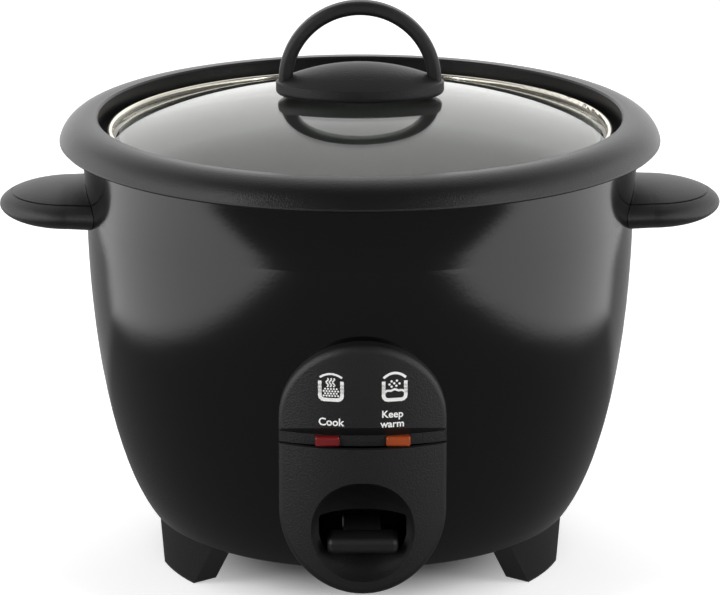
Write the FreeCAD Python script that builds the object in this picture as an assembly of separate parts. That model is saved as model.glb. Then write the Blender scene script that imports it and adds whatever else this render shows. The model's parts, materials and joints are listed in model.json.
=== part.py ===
import FreeCAD, Part
import math
import os

V = FreeCAD.Vector

# Frame: millimetres, Z up from the table, the front faces -Y, X is to the right.

# Clearances
SEAT_GAP = 0.3          # between bodies that rest on or pass each other
FIT_GAP = 0.15          # between a fixed piece and the curved shell that carries it
HOLE_GAP = 0.05         # round a screw, pin or pin-like tail that is held fast
RUN_GAP = 0.1           # round a pin or rod that turns or slides

# Base: feet and floor plate
FOOT_HEIGHT = 21.5
FOOT_SETBACK = 2.1
FOOT_DEPTH = 12.0
FOOT_NEAR_ANGLE = 53.5  # degrees from the front, at the table
FOOT_FAR_ANGLE = 73.0
FOOT_FLARE_ANGLE = 9.3  # how far the near end leans out towards its top
FOOT_DRAFT = 1.2
FOOT_DRAFT_ANGLE = 1.2
FOOT_SCREW_R = 2.0
FOOT_BORE_R = 4.6
FOOT_BORE_DEPTH = 9.0
BASE_PLATE_T = 1.2
BASE_PLATE_AIR = 0.6
VENT_COUNT = 16
VENT_WIDTH = 3.0
VENT_LENGTH = 14.0
VENT_RING_R = 40.0

# Outer shell: drawn steel with a round belly and a flared neck
SHELL_NECK_HEIGHT = 28.6
SHELL_NECK_FLARE = 3.2      # waist inside the top
SHELL_BELLY_TAPER = 27.0    # foot inside the waist
SHELL_WALL = 0.8
SHELL_BELLY_SHARE = 0.94    # share of the belly's half ellipse that the wall uses
SHELL_FOOT_LIP = 12.6
SHELL_TOP_LIP = 6.6
SHELL_EDGE_R = 1.2

# Inner pot and the space under it
BASE_SPACE = 36.5
HEATER_T = 12.0
HEATER_INSET = 15.6         # plate inside the pot's outside
HEATER_BORE_R = 17.5
HEATER_EDGE_R = 4.0
POT_R = 105.6
POT_WALL = 1.5
POT_HEIGHT = 117.3
POT_CORNER_R = 28.0
POT_FLANGE_WIDTH = 7.3
POT_FLANGE_T = 1.6
POT_LIP_DROP = 1.2

# Collar: moulded brim that carries the pot's flange
COLLAR_OVERHANG = 8.2       # brim beyond the shell's top
COLLAR_AIR = 3.2            # lip outside the pot's flange
COLLAR_SEAT_GAP = 0.5       # collar's wall inside the shell's lip
COLLAR_CROWN_WIDTH = 3.8
COLLAR_RISE = 11.6
COLLAR_EDGE = 1.5
COLLAR_WALL = 1.6
COLLAR_SKIN = 2.4
LEDGE_WIDTH = 6.3
LEDGE_T = 7.0
LEDGE_DROP = 2.4            # ledge below the shell's top
COLLAR_SCREW_R = 1.5
COLLAR_SCREW_DEPTH = 6.0
COLLAR_SCREWS = 4

# Inner liner: heat shield hung from the collar
LINER_GAP = 3.0             # round the pot
LINER_WALL = 0.6
LINER_FLANGE_WIDTH = 8.0
LINER_TAPER_TOP = 40.0      # taper starts this far above the liner's floor
LINER_FLOOR_DROP = 9.4      # floor below the heating plate's underside
LINER_AIR = 9.5             # from the shell's inside at the floor
LINER_FLOOR_WIDTH = 14.0
BAND_HEIGHT = 25.0
BAND_T = 1.0
BAND_RISE = 60.0            # band heater above the liner's floor
BAND_SLIT = 8.0

# Heating plate fittings
ELEMENT_INSET = 32.0        # element's ring inside the plate
ELEMENT_R = 4.2
ELEMENT_GAP_ANGLE = 30.0
TERMINAL_R = 1.8
TERMINAL_LENGTH = 12.0
POST_INSET = 18.0           # posts' ring inside the plate
POST_R = 5.0
POST_SCREW_R = 2.0
POST_SCREW_DEPTH = 7.0
FUSE_R = 2.2
FUSE_LENGTH = 12.0
FUSE_ANGLE = 141.34         # degrees from +X
FUSE_SHARE = 0.446          # of the way from the sensor's housing to the element
CLIP_T = 0.6
CLIP_WIDTH = 6.0
CLIP_EAR = 7.0

# Temperature sensor in the plate's bore
CAP_R = 15.5
CAP_WALL = 0.8
CAP_HEIGHT = 13.5
FERRITE_R = 12.0
FERRITE_T = 5.0
MAGNET_R = 11.0
MAGNET_T = 5.0
ROD_R = 1.5
ROD_SHOULDER_R = 3.2
ROD_SHOULDER_T = 1.6
ROD_TAIL = 8.0              # below the lever's top
HOUSING_R = 17.0
HOUSING_WALL = 0.8
HOUSING_DEPTH = 10.0
HOUSING_FLANGE_R = 26.0
HOUSING_SCREW_RING_R = 21.5
HOUSING_SCREW_R = 1.5
SPRING_WIRE_R = 0.45
SPRING_TURNS = 4

# Switch lever, its pivot and the switch under it
LEVER_DROP = 16.0           # lever's middle below the heating plate
LEVER_T = 2.0
LEVER_WIDTH = 16.0
LEVER_PIVOT_INSET = 14.0    # pivot behind the posts' ring
LEVER_TAIL = 6.0            # behind the middle
LEVER_SLOT_WIDTH = 5.0
LEVER_LIFT_GAP = 0.6        # under the rod's shoulder and over the plunger
HUB_R = 4.0
PIVOT_R = 2.0
PIVOT_OVERHANG = 2.0
EAR_T = 1.5
EAR_GAP = 0.5
EAR_DEPTH = 14.0
EAR_TOP = 6.0
KEY_WIDTH = 30.0
KEY_HEIGHT = 7.0
KEY_DEPTH = 12.0
KEY_DROP = 0.8              # key's middle below the lever's
KEY_EDGE_R = 2.6
KEY_SETBACK = 2.5           # key's face behind the panel's
KEY_POCKET = 6.0
SWITCH_WIDTH = 10.0
SWITCH_DEPTH = 18.0
SWITCH_REACH = 14.0         # plunger in front of the pivot
PLUNGER_R = 1.8
PLUNGER_SHOWN = 4.5
PLUNGER_HELD = 3.0
TAB_WIDTH = 4.0
TAB_LENGTH = 6.0
TAB_T = 0.8

# Control panel on the front
PANEL_WIDTH = 70.5
PANEL_HEIGHT = 109.9
PANEL_RISE = 0.9            # panel's lowest point above the shell's foot
PANEL_PROUD = 12.9          # front of the lower panel beyond the shell, at the seam
PANEL_STEP = 0.8            # upper panel set back
PANEL_BOW_R = 71.0
PANEL_WALL = 2.4
PANEL_EDGE_R = 3.2
PANEL_SEAM_RISE = 64.8      # seam above the panel's lowest point
SEAM_GAP = 0.3
GROOVE_HEIGHT = 5.0
GROOVE_SLOPE = 4.4
GROOVE_DEPTH = 3.4
GROOVE_BOW_R = 92.0
GROOVE_BACK = 6.0           # back of the groove's wall from the front
LENS_WIDTH = 10.3
LENS_HEIGHT = 4.4
LENS_SPACING = 29.6
LENS_PROUD = 2.4
LENS_EDGE_R = 1.0
LAMP_R = 1.3
LAMP_LENGTH = 8.0
HOLDER_WALL = 1.0
DISH_R = 21.9
DISH_DEPTH = 16.5
DISH_STRETCH = 2.4          # how much wider than high
DISH_RISE = 6.5             # dish centre above the lever
WINDOW_WIDTH = 37.0
WINDOW_BELOW = 5.5
WINDOW_ABOVE = 11.6
ARM_WINDOW_WIDTH = 17.0
ARM_WINDOW_ABOVE = 8.2
ARM_WINDOW_BELOW = 4.0
PANEL_SCREW_R = 1.5
PANEL_SCREW_DEPTH = 7.0
PANEL_BOSS_R = 4.0
UPPER_SCREW_SPACING = 30.0
UPPER_SCREW_DROP = 22.0     # below the panel's top
LOWER_SCREW_SPACING = 46.0
LOWER_SCREW_DROP = 12.0     # below the seam

# Side handles
HANDLE_PROUD = 38.9         # tip beyond the shell's waist
HANDLE_NOSE = 31.7
HANDLE_HALF_DEPTH = 33.0
HANDLE_HALF_HEIGHT = 9.5
HANDLE_DROP = 29.0          # below the shell's top
HANDLE_FLARE = 5.0          # wider at the hidden root
HANDLE_SEAM_RISE = 5.2
HANDLE_SEAM = 0.4
HANDLE_SCREW_SPACING = 32.0
HANDLE_SCREW_R = 2.0
HANDLE_SCREW_DEPTH = 14.0

# Lid: glass in a steel rim with a moulded loop knob
LID_RIM_INSET = 0.7         # lid's rim inside the pot's flange
LID_RIM_HEIGHT = 6.1
LID_RIM_WIDTH = 3.0
LID_RIM_T = 0.7
GLASS_EDGE_T = 2.35
GLASS_T = 3.2
GLASS_CROWN = 17.2          # rise of the dome above its edge
GLASS_FLAT_R = 12.0
GLASS_BORE_R = 4.0
WASHER_T = 0.8
WASHER_R = 11.0
KNOB_R = 37.2
KNOB_HALF_DEPTH = 22.0
KNOB_BAND = 5.5
KNOB_CROWN = 8.2
KNOB_WALL = 3.0
KNOB_EDGE_R = 2.0
KNOB_AIR = 0.6              # under the knob's front edge
KNOB_BOSS_R = 10.5
KNOB_SCREW_R = 2.0
KNOB_SCREW_DEPTH = 8.0
LOOP_R = 36.0
LOOP_BAND = 6.2
LOOP_DEPTH = 8.5
LOOP_EDGE_R = 2.4
LOOP_RISE = 0.2             # loop centre above the knob's band
LOOP_ROOT = 5.0
VENT_R = 3.0
VENT_FLANGE_R = 6.0
VENT_T = 0.8
VENT_BACK = 62.0

# Power inlet at the back
INLET_PROUD = 10.4          # flange beyond the shell at its middle
INLET_DEPTH = 26.0
INLET_WIDTH = 40.0
INLET_HEIGHT = 22.0
INLET_RISE = 4.0            # above the shell's foot
INLET_BARREL_WIDTH = 27.0
INLET_BARREL_HEIGHT = 18.0
CAVITY_WIDTH = 23.0
CAVITY_HEIGHT = 14.0
CAVITY_DEPTH = 17.0
CAVITY_CORNER_R = 2.0
INLET_EDGE_R = 1.5
BLADE_WIDTH = 2.0
BLADE_HEIGHT = 4.0
BLADE_SPACING = 14.0
BLADE_OFFSET = 4.0
BLADE_TAIL = 5.0
BLADE_SHOWN = 10.5
INLET_SCREW_SPACING = 34.0
INLET_SCREW_R = 1.4
INLET_SCREW_LENGTH = 16.0
LEAD_R = 1.1
LEAD_BEND_R = 3.5
LEAD_RUN = 10.0             # straight start of a lead
LEAD_LANE = 30.0            # leads along the floor, from the middle

# Screw heads
HEAD_T = 1.8
HEAD_WIDER = 1.2            # head radius beyond the shank's

# Levels, from the table up
SHELL_FOOT_Z = FOOT_HEIGHT
BASE_Z = SHELL_FOOT_Z + SHELL_WALL
BASE_TOP_Z = BASE_Z + BASE_PLATE_T
HEATER_Z = BASE_TOP_Z + BASE_SPACE
HEATER_TOP_Z = HEATER_Z + HEATER_T
POT_Z = HEATER_TOP_Z + SEAT_GAP
FLANGE_TOP_Z = POT_Z + POT_HEIGHT
LEDGE_Z = FLANGE_TOP_Z - POT_FLANGE_T - SEAT_GAP
SHELL_TOP_Z = LEDGE_Z + LEDGE_DROP
LIP_Z = SHELL_TOP_Z + COLLAR_RISE
WAIST_Z = SHELL_TOP_Z - SHELL_NECK_HEIGHT
LINER_FLOOR_Z = HEATER_Z - LINER_FLOOR_DROP
LINER_TOP_Z = LEDGE_Z - LEDGE_T
LEVER_Z = HEATER_Z - LEVER_DROP
LEVER_TOP_Z = LEVER_Z + LEVER_T / 2
PANEL_Z = SHELL_FOOT_Z + PANEL_RISE
PANEL_TOP_Z = PANEL_Z + PANEL_HEIGHT
SEAM_Z = PANEL_Z + PANEL_SEAM_RISE
DISH_Z = LEVER_Z + DISH_RISE
HANDLE_Z = SHELL_TOP_Z - HANDLE_DROP
LID_Z = FLANGE_TOP_Z + SEAT_GAP
LID_TOP_Z = LID_Z + LID_RIM_HEIGHT
GLASS_LOW_Z = LID_Z + LID_RIM_T + HOLE_GAP
GLASS_EDGE_Z = GLASS_LOW_Z + GLASS_EDGE_T
INLET_Z = SHELL_FOOT_Z + INLET_RISE + INLET_HEIGHT / 2

# Radii, from the pot outwards and inwards
POT_FLANGE_R = POT_R + POT_FLANGE_WIDTH
COLLAR_LIP_R = POT_FLANGE_R + COLLAR_AIR
SHELL_TOP_R = COLLAR_LIP_R + COLLAR_WALL + COLLAR_SEAT_GAP + SHELL_TOP_LIP
COLLAR_R = SHELL_TOP_R + COLLAR_OVERHANG
SHELL_WAIST_R = SHELL_TOP_R - SHELL_NECK_FLARE
SHELL_FOOT_R = SHELL_WAIST_R - SHELL_BELLY_TAPER
HANDLE_REACH = SHELL_WAIST_R + HANDLE_PROUD
LID_RIM_R = POT_FLANGE_R - LID_RIM_INSET
HEATER_R = POT_R - HEATER_INSET
ELEMENT_RING_R = HEATER_R - ELEMENT_INSET
POST_RING_R = HEATER_R - POST_INSET
FUSE_RING_R = HOUSING_FLANGE_R + FUSE_SHARE * (ELEMENT_RING_R - ELEMENT_R - HOUSING_FLANGE_R)
FUSE_X = FUSE_RING_R * math.cos(math.radians(FUSE_ANGLE))
FUSE_Y = FUSE_RING_R * math.sin(math.radians(FUSE_ANGLE))
LEVER_PIVOT_Y = POST_RING_R - LEVER_PIVOT_INSET
SWITCH_PLUNGER_Y = LEVER_PIVOT_Y + SWITCH_REACH

# Belly ellipse and neck arc of the shell's outside
BELLY_HALF_HEIGHT = (WAIST_Z - SHELL_FOOT_Z) / SHELL_BELLY_SHARE
BELLY_HALF_WIDTH = (SHELL_WAIST_R - SHELL_FOOT_R) / (1 - math.sqrt(1 - SHELL_BELLY_SHARE ** 2))
BELLY_R = SHELL_WAIST_R - BELLY_HALF_WIDTH
NECK_R = (SHELL_NECK_HEIGHT ** 2 + SHELL_NECK_FLARE ** 2) / (2 * SHELL_NECK_FLARE)
NECK_CENTRE_R = SHELL_WAIST_R + NECK_R


def flat(point):
    """A radius and a height as a point in the XZ plane."""
    return V(point[0], 0, point[1])


def outline(start, *steps):
    """Closed face in the XZ plane. A step is a point for a line, or (middle, end) for an arc."""
    here = start
    edges = []
    for step in steps:
        if isinstance(step[0], tuple):
            middle, end = step
            edges.append(Part.Arc(flat(here), flat(middle), flat(end)).toShape())
        else:
            end = step
            edges.append(Part.makeLine(flat(here), flat(end)))
        here = end
    if here != start:
        edges.append(Part.makeLine(flat(here), flat(start)))
    return Part.Face(Part.Wire(edges))


def turned(face):
    """Full turn of a profile about the vertical axis."""
    return face.revolve(V(0, 0, 0), V(0, 0, 1), 360)


def box(x0, x1, y0, y1, z0, z1):
    return Part.makeBox(x1 - x0, y1 - y0, z1 - z0, V(x0, y0, z0))


def rod(radius, start, end):
    """Round bar from one point to another."""
    along = end - start
    return Part.makeCylinder(radius, along.Length, start, along)


def polar(radius, degrees, z):
    """Point at an angle from +X about the vertical axis."""
    angle = math.radians(degrees)
    return V(radius * math.cos(angle), radius * math.sin(angle), z)


def screw(seat, along, radius, length):
    """Pan-head screw whose head sits on the seat point and whose shank goes along."""
    way = V(along).normalize()
    head = rod(radius + HEAD_WIDER, seat - way * HEAD_T, seat)
    return head.fuse(rod(radius, seat, seat + way * length)).removeSplitter()


def screw_hole(seat, along, radius, length):
    way = V(along).normalize()
    return rod(radius + HOLE_GAP, seat - way * HEAD_T, seat + way * (length + HOLE_GAP))


def bend(start, corner, end):
    """Arc from start to end, tangent to both legs of the corner, which are equally long."""
    back = start - corner
    ahead = end - corner
    half = back.getAngle(ahead) / 2
    inset = back.Length * (1 - math.sin(half)) / math.cos(half)
    return Part.Arc(start, corner + (back + ahead).normalize() * inset, end).toShape()


def mirrored(shape):
    """Copy on the other side of the YZ plane."""
    return shape.mirror(V(0, 0, 0), V(1, 0, 0))


def arc_point(centre, radius, r):
    """Height on top of a circle in the XZ plane, at the given radius from the axis."""
    return centre[1] + math.sqrt(radius ** 2 - (r - centre[0]) ** 2)


def export(node, *solids):
    Part.makeCompound(list(solids)).exportStep("parts/" + node + ".step")


def shell_radius(z, offset=0.0):
    """Radius of the shell's outside at a height, moved outwards by the offset."""
    if z > WAIST_Z:
        return NECK_CENTRE_R - math.sqrt((NECK_R - offset) ** 2 - (z - WAIST_Z) ** 2)
    share = (WAIST_Z - z) / (BELLY_HALF_HEIGHT + offset)
    return BELLY_R + (BELLY_HALF_WIDTH + offset) * math.sqrt(1 - share ** 2)


# How far the pieces on the shell's front and back stand out from the middle
PANEL_REACH = shell_radius(SEAM_Z) + PANEL_PROUD
KEY_FACE_Y = PANEL_REACH - KEY_SETBACK
KEY_BACK_Y = KEY_FACE_Y - KEY_DEPTH
INLET_REACH = shell_radius(INLET_Z) + INLET_PROUD
INLET_INNER_REACH = INLET_REACH - INLET_DEPTH


def shell_curve(offset, z_low, z_high):
    """Belly and neck edges of the wall from a low to a high level."""
    half_height = BELLY_HALF_HEIGHT + offset
    half_width = BELLY_HALF_WIDTH + offset
    centre = V(BELLY_R, 0, WAIST_Z)
    ellipse = Part.Ellipse(centre - V(0, 0, half_height), centre + V(half_width, 0, 0), centre)
    turn = math.acos((WAIST_Z - z_low) / half_height)
    belly = Part.ArcOfEllipse(ellipse, turn, math.pi / 2).toShape()
    middle_z = (WAIST_Z + z_high) / 2
    ends = [flat((shell_radius(z, offset), z)) for z in (WAIST_Z + 1e-9, middle_z, z_high)]
    neck = Part.Arc(flat((SHELL_WAIST_R + offset, WAIST_Z)), ends[1], ends[2]).toShape()
    return [belly, neck]


def shell_envelope(gap):
    """Solid body inside the shell's outside, grown by a gap."""
    curve = shell_curve(gap, SHELL_FOOT_Z, SHELL_TOP_Z)
    low = flat((shell_radius(SHELL_FOOT_Z, gap), SHELL_FOOT_Z))
    high = flat((shell_radius(SHELL_TOP_Z, gap), SHELL_TOP_Z))
    axis_low = flat((0, SHELL_FOOT_Z))
    axis_high = flat((0, SHELL_TOP_Z))
    ends = [Part.makeLine(high, axis_high), Part.makeLine(axis_high, axis_low), Part.makeLine(axis_low, low)]
    return turned(Part.Face(Part.Wire(curve + ends)))


def front_y(x, z, offset=0.0):
    """Depth of the shell's front at a place across and a height."""
    return -math.sqrt(shell_radius(z, offset) ** 2 - x ** 2)


# Places of the fasteners, shared by the screws and the pieces that they pass through

def collar_screw_seats():
    wall_r = shell_radius(SHELL_TOP_Z - SHELL_WALL - HEAD_T, -SHELL_WALL)
    ring_r = (wall_r + COLLAR_LIP_R + COLLAR_WALL) / 2
    step = 360 / COLLAR_SCREWS
    return [polar(ring_r, 45 + step * i, SHELL_TOP_Z - SHELL_WALL) for i in range(COLLAR_SCREWS)]


def liner_screw_seats():
    ring_r = COLLAR_LIP_R - LEDGE_WIDTH / 2 + COLLAR_WALL / 2
    step = 360 / COLLAR_SCREWS
    return [polar(ring_r, step * i, LINER_TOP_Z - LINER_WALL) for i in range(COLLAR_SCREWS)]


def post_places(z):
    return [polar(POST_RING_R, 45 + 90 * i, z) for i in range(4)]


def foot_screw_places(z):
    ring_r = SHELL_FOOT_R - FOOT_SETBACK - FOOT_DEPTH / 2
    angle = (FOOT_NEAR_ANGLE + FOOT_FAR_ANGLE) / 2
    return [polar(ring_r, side + turn * angle, z) for side in (-90, 90) for turn in (-1, 1)]


def front_seat_y(x, z, radius):
    """Depth at which a screw head inside the shell just touches the front wall."""
    head = radius + HEAD_WIDER
    return max(front_y(abs(x) + head, level, -SHELL_WALL) for level in (z - head, z + head)) + HOLE_GAP


def handle_screw_seats(side):
    y = HANDLE_SCREW_SPACING / 2
    x = -front_seat_y(y, HANDLE_Z, HANDLE_SCREW_R)
    return [V(side * x, -y, HANDLE_Z), V(side * x, y, HANDLE_Z)]


def panel_screw_seats(spacing, z):
    places = [spacing / 2 * turn for turn in (-1, 1)]
    return [V(x, front_seat_y(x, z, PANEL_SCREW_R), z) for x in places]


def upper_panel_seats():
    return panel_screw_seats(UPPER_SCREW_SPACING, PANEL_TOP_Z - UPPER_SCREW_DROP)


def lower_panel_seats():
    return panel_screw_seats(LOWER_SCREW_SPACING, SEAM_Z - LOWER_SCREW_DROP)


def inlet_screw_seats():
    return [V(INLET_SCREW_SPACING / 2 * turn, INLET_REACH, INLET_Z) for turn in (-1, 1)]


def housing_screw_seats():
    flange_z = HEATER_Z - HOUSING_WALL
    return [V(HOUSING_SCREW_RING_R * turn, 0, flange_z) for turn in (-1, 1)]


# Casing

def outer_shell():
    top_in = SHELL_TOP_R - SHELL_TOP_LIP
    foot_in = SHELL_FOOT_R - SHELL_FOOT_LIP
    low_z = SHELL_FOOT_Z + SHELL_WALL
    high_z = SHELL_TOP_Z - SHELL_WALL
    outside = shell_curve(0, SHELL_FOOT_Z, SHELL_TOP_Z)
    inside = shell_curve(-SHELL_WALL, low_z, high_z)
    corners = [(SHELL_TOP_R, SHELL_TOP_Z), (top_in, SHELL_TOP_Z), (top_in, high_z)]
    corners += [(shell_radius(high_z, -SHELL_WALL), high_z)]
    top = Part.makePolygon([flat(p) for p in corners]).Edges
    corners = [(shell_radius(low_z, -SHELL_WALL), low_z), (foot_in, low_z), (foot_in, SHELL_FOOT_Z)]
    corners += [(SHELL_FOOT_R, SHELL_FOOT_Z)]
    foot = Part.makePolygon([flat(p) for p in corners]).Edges
    wire = Part.Wire(Part.__sortEdges__(outside + top + inside + foot))
    shell = turned(Part.Face(wire))
    rim = [e for e in shell.Edges if abs(e.BoundBox.ZMin - SHELL_FOOT_Z) < 1e-3
           and abs(e.BoundBox.XMax - SHELL_FOOT_R) < 1e-3 and e.BoundBox.ZLength < 1e-3]
    shell = shell.makeFillet(min(SHELL_EDGE_R, 1.5 * SHELL_WALL), rim)
    cuts = [screw_hole(s, V(0, 0, 1), COLLAR_SCREW_R, COLLAR_SCREW_DEPTH) for s in collar_screw_seats()]
    for place in foot_screw_places(FOOT_HEIGHT / 2):
        cuts.append(rod(FOOT_SCREW_R + HOLE_GAP, place, place + V(0, 0, FOOT_HEIGHT)))
    for side in (-1, 1):
        for seat in handle_screw_seats(side):
            cuts.append(screw_hole(seat, V(side, 0, 0), HANDLE_SCREW_R, HANDLE_SCREW_DEPTH))
    for seat in upper_panel_seats() + lower_panel_seats():
        cuts.append(screw_hole(seat, V(0, -1, 0), PANEL_SCREW_R, PANEL_SCREW_DEPTH))
    half = ARM_WINDOW_WIDTH / 2
    low, high = LEVER_Z - ARM_WINDOW_BELOW, LEVER_Z + ARM_WINDOW_ABOVE
    cuts.append(box(-half, half, -SHELL_WAIST_R, -LEVER_PIVOT_Y, low, high))
    cuts.append(holder_block(FIT_GAP))
    for seat in inlet_screw_seats():
        cuts.append(rod(INLET_SCREW_R + HOLE_GAP, seat, seat - V(0, INLET_SCREW_LENGTH * 2, 0)))
    half_w = INLET_BARREL_WIDTH / 2 + FIT_GAP
    half_h = INLET_BARREL_HEIGHT / 2 + FIT_GAP
    cuts.append(box(-half_w, half_w, INLET_INNER_REACH, INLET_REACH, INLET_Z - half_h, INLET_Z + half_h))
    return shell.cut(Part.makeCompound(cuts))


def collar_ring():
    crown_r = COLLAR_LIP_R + COLLAR_CROWN_WIDTH
    edge_z = SHELL_TOP_Z + COLLAR_EDGE
    fall = LIP_Z - edge_z
    width = COLLAR_R - crown_r
    brow_r = (width ** 2 + fall ** 2) / (2 * fall)
    centre = (crown_r, LIP_Z - brow_r)
    half = math.asin(width / brow_r) / 2
    brow = (crown_r + brow_r * math.sin(half), centre[1] + brow_r * math.cos(half))
    wall_r = COLLAR_LIP_R + COLLAR_WALL
    ledge_r = COLLAR_LIP_R - LEDGE_WIDTH
    groove_in = SHELL_TOP_R + COLLAR_SKIN / 2
    groove_out = COLLAR_R - COLLAR_SKIN
    groove_mid = (groove_in + groove_out) / 2
    roof_z = arc_point(centre, brow_r, groove_mid) - COLLAR_SKIN
    face = outline((ledge_r, LINER_TOP_Z), (wall_r, LINER_TOP_Z), (wall_r, SHELL_TOP_Z),
                   (groove_in, SHELL_TOP_Z), (groove_in, roof_z), (groove_mid, roof_z),
                   (groove_out, SHELL_TOP_Z), (COLLAR_R - COLLAR_EDGE / 2, SHELL_TOP_Z),
                   (COLLAR_R, edge_z - COLLAR_EDGE / 2), (COLLAR_R, edge_z), (brow, (crown_r, LIP_Z)),
                   (COLLAR_LIP_R + COLLAR_EDGE / 2, LIP_Z), (COLLAR_LIP_R, LIP_Z - COLLAR_EDGE / 2),
                   (COLLAR_LIP_R, LEDGE_Z), (ledge_r, LEDGE_Z))
    cuts = [screw_hole(s, V(0, 0, 1), COLLAR_SCREW_R, COLLAR_SCREW_DEPTH) for s in collar_screw_seats()]
    cuts += [screw_hole(s, V(0, 0, 1), COLLAR_SCREW_R, COLLAR_SCREW_DEPTH) for s in liner_screw_seats()]
    return turned(face).cut(Part.makeCompound(cuts))


def inner_liner():
    inner_r = POT_R + LINER_GAP
    outer_r = inner_r + LINER_WALL
    flange_r = outer_r + LINER_FLANGE_WIDTH
    floor_r = shell_radius(LINER_FLOOR_Z, -SHELL_WALL) - LINER_AIR
    hole_r = floor_r - LINER_FLOOR_WIDTH
    taper_z = LINER_FLOOR_Z + LINER_TAPER_TOP
    top_z = LINER_TOP_Z
    face = outline((hole_r, LINER_FLOOR_Z), (floor_r, LINER_FLOOR_Z), (outer_r, taper_z),
                   (outer_r, top_z - LINER_WALL), (flange_r, top_z - LINER_WALL), (flange_r, top_z),
                   (inner_r, top_z), (inner_r, taper_z), (floor_r - LINER_WALL, LINER_FLOOR_Z + LINER_WALL),
                   (hole_r, LINER_FLOOR_Z + LINER_WALL))
    cuts = [screw_hole(s, V(0, 0, 1), COLLAR_SCREW_R, COLLAR_SCREW_DEPTH) for s in liner_screw_seats()]
    return turned(face).cut(Part.makeCompound(cuts))


def band_heater():
    inner_r = POT_R + LINER_GAP + LINER_WALL + HOLE_GAP
    low_z = LINER_FLOOR_Z + BAND_RISE
    high_z = low_z + BAND_HEIGHT
    ring = turned(outline((inner_r, low_z), (inner_r + BAND_T, low_z), (inner_r + BAND_T, high_z),
                          (inner_r, high_z)))
    half = BAND_SLIT / 2
    return ring.cut(box(-half, half, 0, inner_r + 2 * BAND_T, low_z, high_z))


def base_plate():
    radius = shell_radius(BASE_Z, -SHELL_WALL) - BASE_PLATE_AIR
    plate = Part.makeCylinder(radius, BASE_PLATE_T, V(0, 0, BASE_Z))
    hole_r = FOOT_SCREW_R + HOLE_GAP
    cuts = [rod(hole_r, p, p + V(0, 0, FOOT_HEIGHT)) for p in foot_screw_places(FOOT_HEIGHT / 2)]
    cuts += [rod(POST_SCREW_R + HOLE_GAP, p, p + V(0, 0, FOOT_HEIGHT)) for p in post_places(FOOT_HEIGHT / 2)]
    half = VENT_WIDTH / 2
    slot = box(VENT_RING_R - VENT_LENGTH / 2, VENT_RING_R + VENT_LENGTH / 2, -half, half, BASE_Z, BASE_TOP_Z)
    for i in range(VENT_COUNT):
        vent = slot.copy()
        vent.rotate(V(0, 0, 0), V(0, 0, 1), 360 / VENT_COUNT * (i + 0.5))
        cuts.append(vent)
    return plate.cut(Part.makeCompound(cuts))


def sector_wire(inner_r, outer_r, near, far, z):
    """Ring sector at one level, its angles counted from the front towards +X."""
    edges = []
    middle = (near + far) / 2
    corners = [(outer_r, near), (outer_r, middle), (outer_r, far)]
    corners += [(inner_r, far), (inner_r, middle), (inner_r, near)]
    points = [polar(r, -90 + angle, z) for r, angle in corners]
    edges.append(Part.Arc(points[0], points[1], points[2]).toShape())
    edges.append(Part.makeLine(points[2], points[3]))
    edges.append(Part.Arc(points[3], points[4], points[5]).toShape())
    edges.append(Part.makeLine(points[5], points[0]))
    return Part.Wire(edges)


def foot():
    """Front right foot. Its near end leans out, so it is longer where it meets the shell."""
    outer_r = SHELL_FOOT_R - FOOT_SETBACK
    inner_r = outer_r - FOOT_DEPTH
    low = sector_wire(inner_r, outer_r, FOOT_NEAR_ANGLE, FOOT_FAR_ANGLE, 0)
    high = sector_wire(inner_r - FOOT_DRAFT, outer_r + FOOT_DRAFT, FOOT_NEAR_ANGLE - FOOT_FLARE_ANGLE,
                       FOOT_FAR_ANGLE + FOOT_DRAFT_ANGLE, FOOT_HEIGHT)
    block = Part.makeLoft([low, high], True, True)
    place = [p for p in foot_screw_places(0) if p.x > 0 and p.y < 0][0]
    bore = rod(FOOT_BORE_R, place, place + V(0, 0, FOOT_BORE_DEPTH))
    shank = rod(FOOT_SCREW_R + HOLE_GAP, place, place + V(0, 0, FOOT_HEIGHT))
    return block.cut(bore.fuse(shank))


def foot_screws():
    length = BASE_TOP_Z - FOOT_BORE_DEPTH + FOOT_SCREW_R
    return [screw(p, V(0, 0, 1), FOOT_SCREW_R, length) for p in foot_screw_places(FOOT_BORE_DEPTH)]


def handle_body(shrink):
    """Round-nosed ear on the +X side, shrunk all round by the given amount."""
    half_depth = HANDLE_HALF_DEPTH - shrink
    nose = HANDLE_NOSE - shrink
    start_x = HANDLE_REACH - HANDLE_NOSE
    root_x = SHELL_WAIST_R - HANDLE_HALF_DEPTH
    ellipse = Part.Ellipse(V(0, 0, 0), max(half_depth, nose), min(half_depth, nose))
    quarter = Part.ArcOfEllipse(ellipse, 0, math.pi / 2).toShape()
    quarter.rotate(V(0, 0, 0), V(1, 0, 0), 90)
    if half_depth > nose:
        quarter = quarter.mirror(V(0, 0, 0), V(1, 0, -1))
    quarter.translate(V(start_x, 0, 0))
    tip, shoulder = V(start_x + nose, 0, 0), V(start_x, 0, half_depth)
    root_high, root_low = V(root_x, 0, half_depth + HANDLE_FLARE), V(root_x, 0, 0)
    lines = Part.makePolygon([shoulder, root_high, root_low, tip]).Edges
    wire = Part.Wire(Part.__sortEdges__([quarter] + lines))
    turned_ear = Part.Face(wire).revolve(V(0, 0, 0), V(1, 0, 0), 360)
    squeeze = FreeCAD.Matrix()
    squeeze.scale(1, 1, (HANDLE_HALF_HEIGHT - shrink) / half_depth)
    ear = turned_ear.transformGeometry(squeeze)
    ear.translate(V(0, 0, HANDLE_Z))
    return ear


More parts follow.
